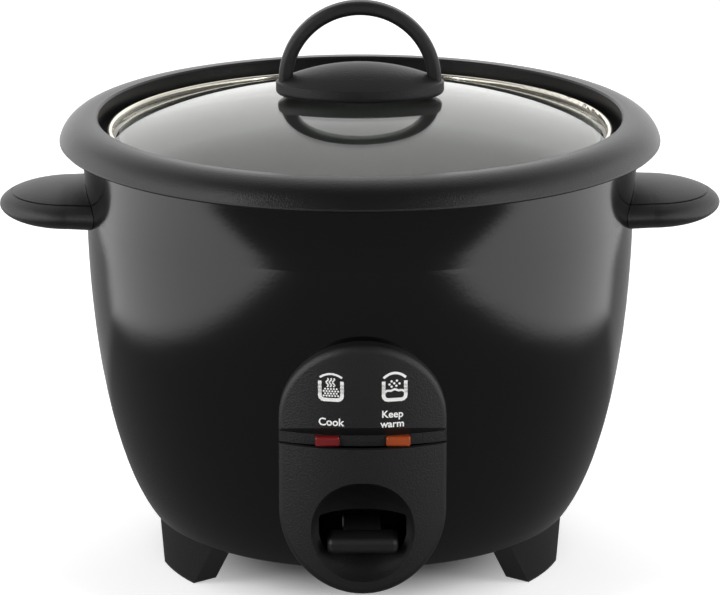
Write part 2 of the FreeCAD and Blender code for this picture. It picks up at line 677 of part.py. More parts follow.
def handle():
    """Right-hand ear, with a seam line round it and blind holes for its screws."""
    ear = handle_body(0)
    low = HANDLE_Z + HANDLE_SEAM_RISE - HANDLE_SEAM / 2
    wide = HANDLE_HALF_DEPTH + HANDLE_SEAM
    slab = box(SHELL_WAIST_R / 2, HANDLE_REACH + HANDLE_SEAM, -wide, wide, low, low + HANDLE_SEAM)
    ear = ear.cut(slab.cut(handle_body(HANDLE_SEAM)))
    holes = [screw_hole(s, V(1, 0, 0), HANDLE_SCREW_R, HANDLE_SCREW_DEPTH) for s in handle_screw_seats(1)]
    return ear.cut(shell_envelope(FIT_GAP)).cut(Part.makeCompound(holes))


# Control panel

def panel_block(reach, inset):
    """Upright panel with round ends and a bowed front, shrunk by the inset."""
    half = PANEL_WIDTH / 2 - inset
    end_r = PANEL_WIDTH / 2
    low_z, high_z = PANEL_Z + end_r, PANEL_TOP_Z - end_r
    deep = 2 * SHELL_FOOT_R
    front = V(0, -deep, 0)
    prism = box(-half, half, -deep, -SHELL_FOOT_R / 2, low_z, high_z)
    for z in (low_z, high_z):
        prism = prism.fuse(rod(half, front + V(0, 0, z), V(0, -SHELL_FOOT_R / 2, z)))
    prism = prism.removeSplitter()
    centre = V(0, PANEL_BOW_R - reach, PANEL_Z - PANEL_HEIGHT / 2)
    bow = Part.makeCylinder(PANEL_BOW_R - inset, PANEL_HEIGHT * 2, centre)
    return prism.common(bow)


def rounded_panel(reach):
    """Panel block with its front edge rounded."""
    block = panel_block(reach, 0)
    edges = [e for e in block.Edges if is_front_edge(e, reach)]
    return block.makeFillet(PANEL_EDGE_R, edges)


def is_front_edge(edge, reach):
    """True on the edges where the bowed front meets the panel's sides."""
    centre_y = PANEL_BOW_R - reach
    middle = edge.valueAt((edge.FirstParameter + edge.LastParameter) / 2)
    on_bow = abs(math.hypot(middle.x, middle.y - centre_y) - PANEL_BOW_R) < 1e-3
    return on_bow and edge.BoundBox.YMax < -LEVER_PIVOT_Y


def panel_bosses(seats, reach):
    """Screw posts from behind the front wall to the shell, with their blind holes."""
    posts = []
    for seat in seats:
        sag = PANEL_BOW_R - math.sqrt(PANEL_BOW_R ** 2 - seat.x ** 2)
        posts.append(rod(PANEL_BOSS_R, seat, V(seat.x, -reach + sag + PANEL_WALL / 2, seat.z)))
    holes = [screw_hole(s, V(0, -1, 0), PANEL_SCREW_R, PANEL_SCREW_DEPTH) for s in seats]
    return Part.makeCompound(posts), Part.makeCompound(holes)


def above(z):
    wide = 2 * SHELL_TOP_R
    return box(-wide, wide, -wide, wide, z, z + PANEL_HEIGHT * 2)


def below(z):
    wide = 2 * SHELL_TOP_R
    return box(-wide, wide, -wide, wide, z - PANEL_HEIGHT * 2, z)


def lens_box(side, grow):
    """Block of one lens, from its proud front to the back of the groove's wall."""
    reach = PANEL_REACH - PANEL_STEP
    x = side * LENS_SPACING / 2
    sag = GROOVE_BOW_R - math.sqrt(GROOVE_BOW_R ** 2 - x ** 2)
    front = -reach + GROOVE_DEPTH + sag - LENS_PROUD
    back_bow_r = PANEL_BOW_R - GROOVE_BACK
    back_sag = back_bow_r - math.sqrt(back_bow_r ** 2 - (abs(x) + LENS_WIDTH / 2) ** 2)
    back = -reach + GROOVE_BACK + back_sag
    half_w = LENS_WIDTH / 2 + grow
    half_h = LENS_HEIGHT / 2 + grow
    z = SEAM_Z + GROOVE_HEIGHT / 2
    return box(x - half_w, x + half_w, front, back, z - half_h, z + half_h)


def upper_panel():
    reach = PANEL_REACH - PANEL_STEP
    seats = upper_panel_seats()
    posts, holes = panel_bosses(seats, reach)
    outside = rounded_panel(reach)
    thick_top = SEAM_Z + GROOVE_HEIGHT + GROOVE_SLOPE + PANEL_WALL
    hollow = panel_block(reach, PANEL_WALL).common(above(thick_top))
    hollow = hollow.fuse(panel_block(reach, GROOVE_BACK).common(above(SEAM_Z - 1)))
    panel = outside.cut(hollow).fuse(posts.common(outside))
    panel = panel.common(above(SEAM_Z + SEAM_GAP))
    centre = V(0, GROOVE_BOW_R - reach + GROOVE_DEPTH, SEAM_Z)
    keep = Part.makeCylinder(GROOVE_BOW_R, GROOVE_HEIGHT, centre)
    foot = centre + V(0, 0, GROOVE_HEIGHT)
    slope = Part.makeCone(GROOVE_BOW_R, GROOVE_BOW_R + GROOVE_DEPTH, GROOVE_SLOPE, foot)
    wide = PANEL_WIDTH
    slab = box(-wide, wide, -reach - wide, centre.y, SEAM_Z, SEAM_Z + GROOVE_HEIGHT + GROOVE_SLOPE)
    panel = panel.cut(slab.cut(keep.fuse(slope)))
    panel = panel.cut(shell_envelope(FIT_GAP)).cut(holes)
    for side in (-1, 1):
        panel = panel.cut(lens_box(side, HOLE_GAP))
    return panel


def lens(side):
    block = lens_box(side, 0)
    front = block.BoundBox.YMin
    edges = [e for e in block.Edges if e.BoundBox.YMax < front + 1e-6 or e.BoundBox.YLength > LENS_PROUD]
    return block.makeFillet(LENS_EDGE_R, edges)


def lamp(side):
    """Neon lamp lying behind its lens."""
    block = lens_box(side, 0).BoundBox
    z = SEAM_Z + GROOVE_HEIGHT / 2
    start = V(block.Center.x - LAMP_LENGTH / 2, block.YMax + LAMP_R + HOLE_GAP, z)
    return rod(LAMP_R, start, start + V(LAMP_LENGTH, 0, 0))


def holder_block(grow):
    """Space that the lamp holder takes up, through a window in the shell."""
    half = LENS_SPACING / 2 + LAMP_LENGTH / 2 + PANEL_WALL + grow
    back = lamp(1).BoundBox.YMax + HOLE_GAP + HOLDER_WALL + grow
    low = SEAM_Z + SEAM_GAP - grow
    return box(-half, half, -PANEL_REACH, back, low, low + GROOVE_HEIGHT + 2 * grow)


def lamp_holder():
    """Block behind the lenses, with a trough for each lamp."""
    block = holder_block(0).common(panel_block(PANEL_REACH - PANEL_STEP, GROOVE_BACK + HOLE_GAP))
    for side in (-1, 1):
        block = block.cut(lens_box(side, HOLE_GAP)).cut(rod(LAMP_R + HOLE_GAP, *lamp_ends(side)))
    return block


def lamp_ends(side):
    block = lamp(side).BoundBox
    y, z = block.Center.y, block.Center.z
    return V(block.XMin - HOLE_GAP, y, z), V(block.XMax + HOLE_GAP, y, z)


def dish_ball(grow):
    """Body of the finger dish: a ball drawn out sideways, grown by a wall."""
    ball_r = (DISH_R ** 2 + DISH_DEPTH ** 2) / (2 * DISH_DEPTH)
    r = ball_r + grow
    half = DISH_STRETCH / 2
    slant = r * math.sqrt(0.5)
    face = outline((-half - r, 0), ((-half - slant, slant), (-half, r)), (half, r),
                   ((half + slant, slant), (half + r, 0)))
    body = face.revolve(V(0, 0, 0), V(1, 0, 0), 360)
    body.translate(V(0, DISH_DEPTH - PANEL_REACH - ball_r, DISH_Z))
    return body


def lower_panel():
    seats = lower_panel_seats()
    posts, holes = panel_bosses(seats, PANEL_REACH)
    outside = rounded_panel(PANEL_REACH)
    panel = outside.cut(panel_block(PANEL_REACH, PANEL_WALL))
    panel = panel.fuse(posts.common(outside)).fuse(dish_ball(PANEL_WALL).common(outside))
    panel = panel.common(below(SEAM_Z)).cut(dish_ball(0))
    half = WINDOW_WIDTH / 2
    low, high = LEVER_Z - WINDOW_BELOW, LEVER_Z + WINDOW_ABOVE
    window = box(-half, half, -PANEL_REACH + DISH_DEPTH / 2, -LEVER_PIVOT_Y, low, high)
    return panel.cut(window).cut(shell_envelope(FIT_GAP)).cut(holes)


def panel_screws():
    seats = upper_panel_seats() + lower_panel_seats()
    return [screw(s, V(0, -1, 0), PANEL_SCREW_R, PANEL_SCREW_DEPTH) for s in seats]


# Heating plate and what hangs from it

def heating_plate():
    top, low, edge = HEATER_TOP_Z, HEATER_Z, HEATER_EDGE_R
    slant = edge * (1 - math.sqrt(0.5))
    face = outline((HEATER_BORE_R, low), (HEATER_R, low), (HEATER_R, top - edge),
                   ((HEATER_R - slant, top - slant), (HEATER_R - edge, top)), (HEATER_BORE_R, top))
    cuts = [Part.makeTorus(ELEMENT_RING_R, ELEMENT_R + HOLE_GAP, V(0, 0, low))]
    depth = V(0, 0, POST_SCREW_DEPTH + HOLE_GAP)
    cuts += [rod(POST_SCREW_R + HOLE_GAP, p, p + depth) for p in post_places(low)]
    for seat in housing_screw_seats():
        cuts.append(screw_hole(seat, V(0, 0, 1), HOUSING_SCREW_R, HEATER_T / 2))
    return turned(face).cut(Part.makeCompound(cuts))


def element_end(side):
    """Where the tubular element stops, at the back, on one side."""
    return 90 + side * ELEMENT_GAP_ANGLE / 2


def heating_element():
    section = Part.Face(Part.Wire(Part.makeCircle(ELEMENT_R, polar(ELEMENT_RING_R, element_end(1), HEATER_Z),
                                                  polar(1, element_end(1) + 90, 0))))
    return section.revolve(V(0, 0, 0), V(0, 0, 1), 360 - ELEMENT_GAP_ANGLE)


def terminal(side):
    """Pin that hangs from one end of the element."""
    inset = math.degrees(ELEMENT_R / ELEMENT_RING_R)
    top = polar(ELEMENT_RING_R, element_end(side) + side * inset, HEATER_Z - ELEMENT_R + TERMINAL_R)
    pin = rod(TERMINAL_R, top, top - V(0, 0, TERMINAL_LENGTH))
    return pin.cut(Part.makeTorus(ELEMENT_RING_R, ELEMENT_R + HOLE_GAP, V(0, 0, HEATER_Z)))


def terminal_end(side):
    """Lower end of a heater pin, where its lead ends."""
    pin = terminal(side).BoundBox
    inset = math.degrees(ELEMENT_R / ELEMENT_RING_R)
    place = polar(ELEMENT_RING_R, element_end(side) + side * inset, 0)
    return V(place.x, place.y, pin.ZMin - HOLE_GAP)


def heater_post(place):
    tube = rod(POST_R, place, V(place.x, place.y, HEATER_Z))
    return tube.cut(rod(POST_SCREW_R + HOLE_GAP, place, V(place.x, place.y, HEATER_Z)))


def heater_screws():
    length = HEATER_Z - BASE_Z + POST_SCREW_DEPTH
    return [screw(p, V(0, 0, 1), POST_SCREW_R, length) for p in post_places(BASE_Z)]


def thermal_fuse():
    z = HEATER_Z - FUSE_R - HOLE_GAP
    start = V(FUSE_X - FUSE_LENGTH / 2, FUSE_Y, z)
    return rod(FUSE_R, start, start + V(FUSE_LENGTH, 0, 0))


def fuse_clip():
    """Bent strap that holds the fuse against the plate."""
    z = HEATER_Z - FUSE_R - HOLE_GAP
    start, end = V(FUSE_X - CLIP_WIDTH / 2, FUSE_Y, z), V(FUSE_X + CLIP_WIDTH / 2, FUSE_Y, z)
    hoop = rod(FUSE_R + HOLE_GAP + CLIP_T, start, end)
    reach = FUSE_R + HOLE_GAP + CLIP_T
    sides = box(start.x, end.x, FUSE_Y - reach, FUSE_Y + reach, z, HEATER_Z)
    ear = box(start.x, end.x, FUSE_Y, FUSE_Y + CLIP_EAR, HEATER_Z - CLIP_T, HEATER_Z)
    strap = hoop.fuse(sides).fuse(ear).common(below(HEATER_Z))
    tunnel = rod(FUSE_R + HOLE_GAP, start, end)
    inside = FUSE_R + HOLE_GAP
    tunnel = tunnel.fuse(box(start.x, end.x, FUSE_Y - inside, FUSE_Y + inside, z, HEATER_Z))
    return strap.cut(tunnel).removeSplitter()


# Temperature sensor

CAP_TOP_Z = HEATER_TOP_Z
FERRITE_Z = CAP_TOP_Z - CAP_WALL - FERRITE_T
MAGNET_Z = FERRITE_Z - SEAT_GAP - MAGNET_T
HOUSING_FLOOR_Z = HEATER_Z - HOUSING_DEPTH
SHOULDER_Z = LEVER_TOP_Z + LEVER_LIFT_GAP


def sensor_cap():
    low = CAP_TOP_Z - CAP_HEIGHT
    inner_r = CAP_R - CAP_WALL
    face = outline((0, CAP_TOP_Z - CAP_WALL), (inner_r, CAP_TOP_Z - CAP_WALL), (inner_r, low), (CAP_R, low),
                   (CAP_R, CAP_TOP_Z - CAP_WALL / 2), (CAP_R - CAP_WALL / 2, CAP_TOP_Z), (0, CAP_TOP_Z))
    return turned(face)


def ferrite_disc():
    return Part.makeCylinder(FERRITE_R, FERRITE_T, V(0, 0, FERRITE_Z))


def magnet():
    return Part.makeCylinder(MAGNET_R, MAGNET_T, V(0, 0, MAGNET_Z))


def magnet_rod():
    stem = rod(ROD_R, V(0, 0, LEVER_TOP_Z - ROD_TAIL), V(0, 0, MAGNET_Z))
    shoulder = rod(ROD_SHOULDER_R, V(0, 0, SHOULDER_Z), V(0, 0, SHOULDER_Z + ROD_SHOULDER_T))
    return stem.fuse(shoulder).removeSplitter()


def sensor_housing():
    floor, wall = HOUSING_FLOOR_Z, HOUSING_WALL
    inner_r = HOUSING_R - wall
    hole_r = ROD_R + RUN_GAP
    low = HEATER_Z - wall
    face = outline((hole_r, floor), (HOUSING_R, floor), (HOUSING_R, low), (HOUSING_FLANGE_R, low),
                   (HOUSING_FLANGE_R, HEATER_Z), (inner_r, HEATER_Z), (inner_r, floor + wall),
                   (hole_r, floor + wall))
    holes = [screw_hole(s, V(0, 0, 1), HOUSING_SCREW_R, HEATER_T / 2) for s in housing_screw_seats()]
    return turned(face).cut(Part.makeCompound(holes))


def coil_way(degrees, lean):
    """Direction of a coil at an angle, rising with the given slope."""
    return polar(1, degrees + 90, lean).normalize()


def double_bend(start, way, end, end_way):
    """Two arcs that leave the start along one direction and reach the end along another."""
    across = end - start
    both = way + end_way
    spread = 2 * (1 - way.dot(end_way))
    along = across.dot(both)
    leg = (math.sqrt(along ** 2 + spread * across.dot(across)) - along) / spread
    first, second = start + way * leg, end - end_way * leg
    middle = (first + second) / 2
    return [bend(start, first, middle), bend(middle, second, end)]


def sensor_spring():
    """Open coil between the housing's floor and the cap's skirt, wound in half turns."""
    ring_r = CAP_R - CAP_WALL / 2
    low = HOUSING_FLOOR_Z + HOUSING_WALL + SPRING_WIRE_R + HOLE_GAP
    high = CAP_TOP_Z - CAP_HEIGHT - SPRING_WIRE_R - HOLE_GAP
    rise = (high - low) / (4 * SPRING_TURNS)
    lean = rise / (ring_r * math.pi / 2)
    edges = []
    for i in range(4 * SPRING_TURNS):
        start, end = polar(ring_r, 90 * i, low + rise * i), polar(ring_r, 90 * (i + 1), low + rise * (i + 1))
        edges += double_bend(start, coil_way(90 * i, lean), end, coil_way(90 * (i + 1), lean))
    path = Part.Wire(edges)
    section = Part.Wire(Part.makeCircle(SPRING_WIRE_R, polar(ring_r, 0, low), coil_way(0, lean)))
    coil = path.makePipeShell([section], True, False)
    print("sensor spring: gap between turns %.2f mm" % (4 * rise - 2 * SPRING_WIRE_R))
    return coil


# Lever and switch

def lever_arm():
    half = LEVER_WIDTH / 2
    arm = box(-half, half, -KEY_BACK_Y - KEY_POCKET, LEVER_TAIL, LEVER_Z - LEVER_T / 2, LEVER_TOP_Z)
    hub = rod(HUB_R, V(-half, -LEVER_PIVOT_Y, LEVER_Z), V(half, -LEVER_PIVOT_Y, LEVER_Z))
    slot_half = LEVER_SLOT_WIDTH / 2
    slot = box(-slot_half, slot_half, -LEVER_TAIL, LEVER_TAIL, LEVER_Z - LEVER_T, LEVER_Z + LEVER_T)
    bore = rod(PIVOT_R + RUN_GAP, V(-half, -LEVER_PIVOT_Y, LEVER_Z), V(half, -LEVER_PIVOT_Y, LEVER_Z))
    return arm.fuse(hub).removeSplitter().cut(slot).cut(bore)


def lever_key():
    """Finger key pushed over the front end of the arm."""
    half = KEY_WIDTH / 2
    back = -KEY_BACK_Y
    middle = LEVER_Z - KEY_DROP
    block = box(-half, half, -KEY_FACE_Y, back, middle - KEY_HEIGHT / 2, middle + KEY_HEIGHT / 2)
    front = [e for e in block.Edges if e.BoundBox.YMin < -KEY_FACE_Y + KEY_EDGE_R]
    block = block.makeFillet(KEY_EDGE_R, front)
    arm_half = LEVER_WIDTH / 2 + HOLE_GAP
    slot_half = LEVER_T / 2 + HOLE_GAP
    pocket = box(-arm_half, arm_half, back - KEY_POCKET - HOLE_GAP, back,
                 LEVER_Z - slot_half, LEVER_Z + slot_half)
    return block.cut(pocket)


def pivot_bracket():
    """Folded bracket on the floor plate, with an ear each side of the lever's hub."""
    inner = LEVER_WIDTH / 2 + EAR_GAP
    y0, y1 = -LEVER_PIVOT_Y - EAR_DEPTH / 2, -LEVER_PIVOT_Y + EAR_DEPTH / 2
    outer = inner + EAR_T
    body = box(-outer, outer, y0, y1, BASE_TOP_Z, LEVER_Z + EAR_TOP)
    body = body.cut(box(-inner, inner, y0, y1, BASE_TOP_Z + EAR_T, LEVER_Z + EAR_TOP))
    pin = rod(PIVOT_R + HOLE_GAP, V(-outer, -LEVER_PIVOT_Y, LEVER_Z), V(outer, -LEVER_PIVOT_Y, LEVER_Z))
    return body.cut(pin)


def pivot_pin():
    half = LEVER_WIDTH / 2 + EAR_GAP + EAR_T + PIVOT_OVERHANG
    return rod(PIVOT_R, V(-half, -LEVER_PIVOT_Y, LEVER_Z), V(half, -LEVER_PIVOT_Y, LEVER_Z))


PLUNGER_TOP_Z = LEVER_Z - LEVER_T / 2 - LEVER_LIFT_GAP
SWITCH_TOP_Z = PLUNGER_TOP_Z - PLUNGER_SHOWN


def cook_switch():
    """Snap switch on the floor plate, with two solder tabs on its side."""
    half = SWITCH_WIDTH / 2
    y1 = -SWITCH_PLUNGER_Y + PLUNGER_R + TAB_T * 2
    block = box(-half, half, y1 - SWITCH_DEPTH, y1, BASE_TOP_Z, SWITCH_TOP_Z)
    tab_z = (BASE_TOP_Z + SWITCH_TOP_Z) / 2
    tab_y = y1 - SWITCH_DEPTH / 2
    for side in (-1, 1):
        ends = sorted((side * half, side * (half + TAB_LENGTH)))
        edge = TAB_WIDTH / 2
        block = block.fuse(box(ends[0], ends[1], tab_y - edge, tab_y + edge, tab_z, tab_z + TAB_T))
    hole_z = SWITCH_TOP_Z - PLUNGER_HELD - HOLE_GAP
    return block.removeSplitter().cut(rod(PLUNGER_R + RUN_GAP, V(0, -SWITCH_PLUNGER_Y, hole_z),
                                          V(0, -SWITCH_PLUNGER_Y, SWITCH_TOP_Z)))


def switch_tab_end(side):
    """Outer end of a solder tab, where its lead ends."""
    block = cook_switch().BoundBox
    tab_z = (BASE_TOP_Z + SWITCH_TOP_Z) / 2 + TAB_T / 2
    return V(side * (block.XMax + HOLE_GAP), block.Center.y, tab_z)


def switch_plunger():
    foot = V(0, -SWITCH_PLUNGER_Y, SWITCH_TOP_Z - PLUNGER_HELD)
    return rod(PLUNGER_R, foot, V(0, -SWITCH_PLUNGER_Y, PLUNGER_TOP_Z))


# Pot and lid

def inner_pot():
    wall, corner = POT_WALL, POT_CORNER_R
    top = FLANGE_TOP_Z
    flange_r = POT_FLANGE_R
    under = top - POT_FLANGE_T
    slant = corner * (1 - math.sqrt(0.5))
    inner_corner = corner - wall
    inner_slant = inner_corner * (1 - math.sqrt(0.5))
    inner_r = POT_R - wall
    face = outline((0, POT_Z), (POT_R - corner, POT_Z),
                   ((POT_R - slant, POT_Z + slant), (POT_R, POT_Z + corner)),
                   (POT_R, under), (flange_r, under), (flange_r, top - POT_FLANGE_T / 2),
                   (flange_r - POT_FLANGE_T / 2, top), (inner_r + POT_LIP_DROP, top),
                   (inner_r, top - POT_LIP_DROP),
                   (inner_r, POT_Z + corner),
                   ((inner_r - inner_slant, POT_Z + wall + inner_slant), (POT_R - corner, POT_Z + wall)),
                   (0, POT_Z + wall))
    return turned(face)


RIM_INNER_R = LID_RIM_R - LID_RIM_WIDTH
GLASS_R = (RIM_INNER_R ** 2 + GLASS_CROWN ** 2) / (2 * GLASS_CROWN)
GLASS_CENTRE_Z = GLASS_EDGE_Z + GLASS_CROWN - GLASS_R


def glass_height(r, depth):
    """Height of the dome at a radius, a depth under its outside."""
    return arc_point((0, GLASS_CENTRE_Z), GLASS_R - depth, r)


GLASS_TOP_Z = glass_height(GLASS_FLAT_R, 0)
GLASS_UNDER_Z = glass_height(GLASS_FLAT_R, GLASS_T)
VENT_Z = glass_height(VENT_BACK, 0)


def lid_rim():
    """Steel channel round the glass, rolled to a half-round bead on top."""
    t, low, high = LID_RIM_T, LID_Z, LID_TOP_Z
    out_r, half = LID_RIM_R, LID_RIM_WIDTH / 2
    under = GLASS_EDGE_Z + HOLE_GAP
    face = outline((RIM_INNER_R, low), (out_r, low), (out_r, high - half),
                   ((out_r - half, high), (RIM_INNER_R, high - half)), (RIM_INNER_R, under),
                   (out_r - t, under), (out_r - t, low + t), (RIM_INNER_R, low + t))
    return turned(face)


def lid_glass():
    edge_r = LID_RIM_R - LID_RIM_T - HOLE_GAP
    inner_end = math.sqrt((GLASS_R - GLASS_T) ** 2 - (GLASS_LOW_Z - GLASS_CENTRE_Z) ** 2)
    middle_r = RIM_INNER_R / 2
    face = outline((GLASS_BORE_R, GLASS_TOP_Z), (GLASS_BORE_R, GLASS_UNDER_Z), (GLASS_FLAT_R, GLASS_UNDER_Z),
                   ((middle_r, glass_height(middle_r, GLASS_T)), (inner_end, GLASS_LOW_Z)),
                   (edge_r, GLASS_LOW_Z), (edge_r, GLASS_EDGE_Z), (RIM_INNER_R, GLASS_EDGE_Z),
                   ((middle_r, glass_height(middle_r, 0)), (GLASS_FLAT_R, GLASS_TOP_Z)))
    dome = turned(face)
    vent = rod(VENT_R + VENT_T + HOLE_GAP, V(0, VENT_BACK, LID_Z), V(0, VENT_BACK, VENT_Z + GLASS_T))
    return dome.cut(vent)


def washer(low):
    disc = Part.makeCylinder(WASHER_R, WASHER_T, V(0, 0, low))
    return disc.cut(Part.makeCylinder(KNOB_SCREW_R + HOLE_GAP, WASHER_T, V(0, 0, low)))


KNOB_SEAT_Z = GLASS_TOP_Z + WASHER_T
KNOB_Z = glass_height(KNOB_HALF_DEPTH, 0) + KNOB_AIR
KNOB_BAND_Z = KNOB_Z + KNOB_BAND
KNOB_DOME_R = (KNOB_R ** 2 + KNOB_CROWN ** 2) / (2 * KNOB_CROWN)
LOOP_Z = KNOB_BAND_Z + LOOP_RISE


def knob_body(shrink):
    """Domed oval disc, shrunk all round by the given amount."""
    r, low, edge = KNOB_R - shrink, KNOB_Z - shrink, KNOB_EDGE_R
    slant = edge * (1 - math.sqrt(0.5))
    centre = (0, KNOB_BAND_Z + KNOB_CROWN - KNOB_DOME_R)
    dome_r = KNOB_DOME_R - shrink
    face = outline((0, low), (r - edge, low), ((r - slant, low + slant), (r, low + edge)),
                   (r, arc_point(centre, dome_r, r)),
                   ((r / 2, arc_point(centre, dome_r, r / 2)), (0, centre[1] + dome_r)))
    squeeze = FreeCAD.Matrix()
    squeeze.scale(1, (KNOB_HALF_DEPTH - shrink) / r, 1)
    return turned(face).transformGeometry(squeeze)


def lid_knob():
    """Domed disc and loop handle, moulded in one piece, hollow underneath."""
    post = rod(KNOB_BOSS_R, V(0, 0, KNOB_SEAT_Z), V(0, 0, KNOB_BAND_Z + KNOB_CROWN))
    roof_z = KNOB_SEAT_Z + KNOB_SCREW_DEPTH + HOLE_GAP
    bore = rod(KNOB_SCREW_R + HOLE_GAP, V(0, 0, KNOB_SEAT_Z - KNOB_BAND), V(0, 0, roof_z))
    cavity = knob_body(KNOB_WALL)
    disc = knob_body(0).cut(cavity.cut(post)).cut(bore)
    inner = LOOP_R - LOOP_BAND
    half = LOOP_DEPTH / 2
    section = box(inner, LOOP_R, -half, half, LOOP_Z - LOOP_ROOT, LOOP_Z)
    leg = section.makeFillet(LOOP_EDGE_R, [e for e in section.Edges if e.BoundBox.ZLength > LOOP_ROOT / 2])
    top = [f for f in leg.Faces if f.BoundBox.ZMin > LOOP_Z - 1e-6][0]
    arch = top.revolve(V(0, 0, LOOP_Z), V(0, -1, 0), 180)
    loop = arch.fuse(leg).fuse(mirrored(leg))
    return disc.fuse(loop.cut(cavity)).removeSplitter()


def knob_screw():
    seat = V(0, 0, GLASS_UNDER_Z - WASHER_T)
    return screw(seat, V(0, 0, 1), KNOB_SCREW_R, KNOB_SEAT_Z - seat.z + KNOB_SCREW_DEPTH)


def vent_grommet():
    """Flanged steel eyelet in the glass, behind the knob."""
    rise = VENT_FLANGE_R * VENT_BACK / GLASS_R
    high = VENT_Z + rise
    low = VENT_Z - GLASS_T - rise
    sleeve = rod(VENT_R + VENT_T, V(0, VENT_BACK, low), V(0, VENT_BACK, high))
    flange = rod(VENT_FLANGE_R, V(0, VENT_BACK, high), V(0, VENT_BACK, high + VENT_T))
    eyelet = sleeve.fuse(flange).removeSplitter()
    return eyelet.cut(rod(VENT_R, V(0, VENT_BACK, low), V(0, VENT_BACK, high + VENT_T)))


# Power inlet and leads

def power_inlet():
    half_w, half_h = INLET_WIDTH / 2, INLET_HEIGHT / 2
    flange = box(-half_w, half_w, INLET_INNER_REACH, INLET_REACH, INLET_Z - half_h, INLET_Z + half_h)
    flange = flange.makeFillet(INLET_EDGE_R, [e for e in flange.Edges if e.BoundBox.YLength > INLET_EDGE_R
                                              or e.BoundBox.YMin > INLET_REACH - 1e-6])
    flange = flange.cut(shell_envelope(FIT_GAP))
    half_w, half_h = INLET_BARREL_WIDTH / 2, INLET_BARREL_HEIGHT / 2
    outer = INLET_REACH - INLET_EDGE_R
    barrel = box(-half_w, half_w, INLET_INNER_REACH, outer, INLET_Z - half_h, INLET_Z + half_h)
    half_w, half_h = CAVITY_WIDTH / 2, CAVITY_HEIGHT / 2
    floor = INLET_REACH - CAVITY_DEPTH
    cavity = box(-half_w, half_w, floor, INLET_REACH, INLET_Z - half_h, INLET_Z + half_h)
    corners = [e for e in cavity.Edges if e.BoundBox.YLength > CAVITY_DEPTH / 2]
    cavity = cavity.makeFillet(CAVITY_CORNER_R, corners)
    body = flange.fuse(barrel).removeSplitter().cut(cavity)
    holes = [blade_box(i, HOLE_GAP) for i in range(3)]
    holes += [screw_hole(s, V(0, -1, 0), INLET_SCREW_R, INLET_SCREW_LENGTH) for s in inlet_screw_seats()]
    return body.cut(Part.makeCompound(holes))


def blade_box(index, grow):
    """One contact blade: live, neutral, or the earth blade between and above them."""
    x = (-BLADE_SPACING / 2, BLADE_SPACING / 2, 0)[index]
    z = INLET_Z - BLADE_OFFSET / 2 + (0, 0, BLADE_OFFSET)[index]
    y0 = INLET_INNER_REACH - BLADE_TAIL
    y1 = INLET_REACH - CAVITY_DEPTH + BLADE_SHOWN
    half_w, half_h = BLADE_WIDTH / 2 + grow, BLADE_HEIGHT / 2 + grow
    return box(x - half_w, x + half_w, y0, y1, z - half_h, z + half_h)


def inlet_screws():
    return [screw(s, V(0, -1, 0), INLET_SCREW_R, INLET_SCREW_LENGTH) for s in inlet_screw_seats()]


def lead(points):
    """Insulated wire along straight runs joined by tangent arcs."""
    edges = []
    here = points[0]
    for before, corner, after in zip(points, points[1:], points[2:]):
        back = (before - corner).normalize()
        ahead = (after - corner).normalize()
        reach = LEAD_BEND_R / math.tan(back.getAngle(ahead) / 2)
        edges.append(Part.makeLine(here, corner + back * reach))
        edges.append(bend(corner + back * reach, corner, corner + ahead * reach))
        here = corner + ahead * reach
    edges.append(Part.makeLine(here, points[-1]))
    path = Part.Wire(edges)
    section = Part.Wire(Part.makeCircle(LEAD_R, points[0], points[1] - points[0]))
    wire = path.makePipeShell([section], True, False)
    expected = math.pi * LEAD_R ** 2 * path.Length
    print("lead: volume %.1f mm3, section times length %.1f" % (wire.Volume, expected))
    return wire


def tail_end(index):
    """Inner end of one contact blade, where its lead starts."""
    block = blade_box(index, 0).BoundBox
    return V(block.Center.x, block.YMin - HOLE_GAP, block.Center.z)


def lead_live():
    """From the live blade along the floor to the switch."""
    start = tail_end(0)
    tab = switch_tab_end(-1)
    floor_z = BASE_TOP_Z + LEAD_R + HOLE_GAP
    return lead([start, start - V(0, LEAD_RUN, 0), V(-LEAD_LANE, POST_RING_R - LEAD_RUN, floor_z),
                 V(-LEAD_LANE, -LEVER_PIVOT_Y, floor_z), tab - V(LEAD_RUN, 0, 0), tab])


def lead_switch():
    """From the switch along the floor to the right-hand heater pin."""
    tab = switch_tab_end(1)
    pin = terminal_end(-1)
    floor_z = BASE_TOP_Z + LEAD_R + HOLE_GAP
    return lead([tab, tab + V(LEAD_RUN, 0, 0), V(LEAD_LANE, -LEVER_PIVOT_Y, floor_z),
                 V(LEAD_LANE, LEAD_LANE, floor_z), pin - V(0, 0, LEAD_RUN), pin])


def lead_neutral():
    """From the neutral blade up to the fuse."""
    start = tail_end(1)
    fuse = V(FUSE_X + FUSE_LENGTH / 2 + HOLE_GAP, FUSE_Y, HEATER_Z - FUSE_R - HOLE_GAP)
    return lead([start, V(start.x, FUSE_Y + LEAD_RUN, start.z), fuse + V(LEAD_RUN / 2, 0, 0), fuse])


def lead_fuse():
    """From the fuse to the left-hand heater pin."""
    fuse = V(FUSE_X - FUSE_LENGTH / 2 - HOLE_GAP, FUSE_Y, HEATER_Z - FUSE_R - HOLE_GAP)
    pin = terminal_end(1)
    return lead([fuse, fuse - V(LEAD_RUN * 0.8, 0, 0), pin - V(0, 0, LEAD_RUN), pin])


def lead_earth():
    """From the earth blade down to the floor plate."""
    start = tail_end(2)
    corner = start - V(0, LEAD_RUN, 0)
    return lead([start, corner, V(corner.x, corner.y, BASE_TOP_Z + HOLE_GAP)])


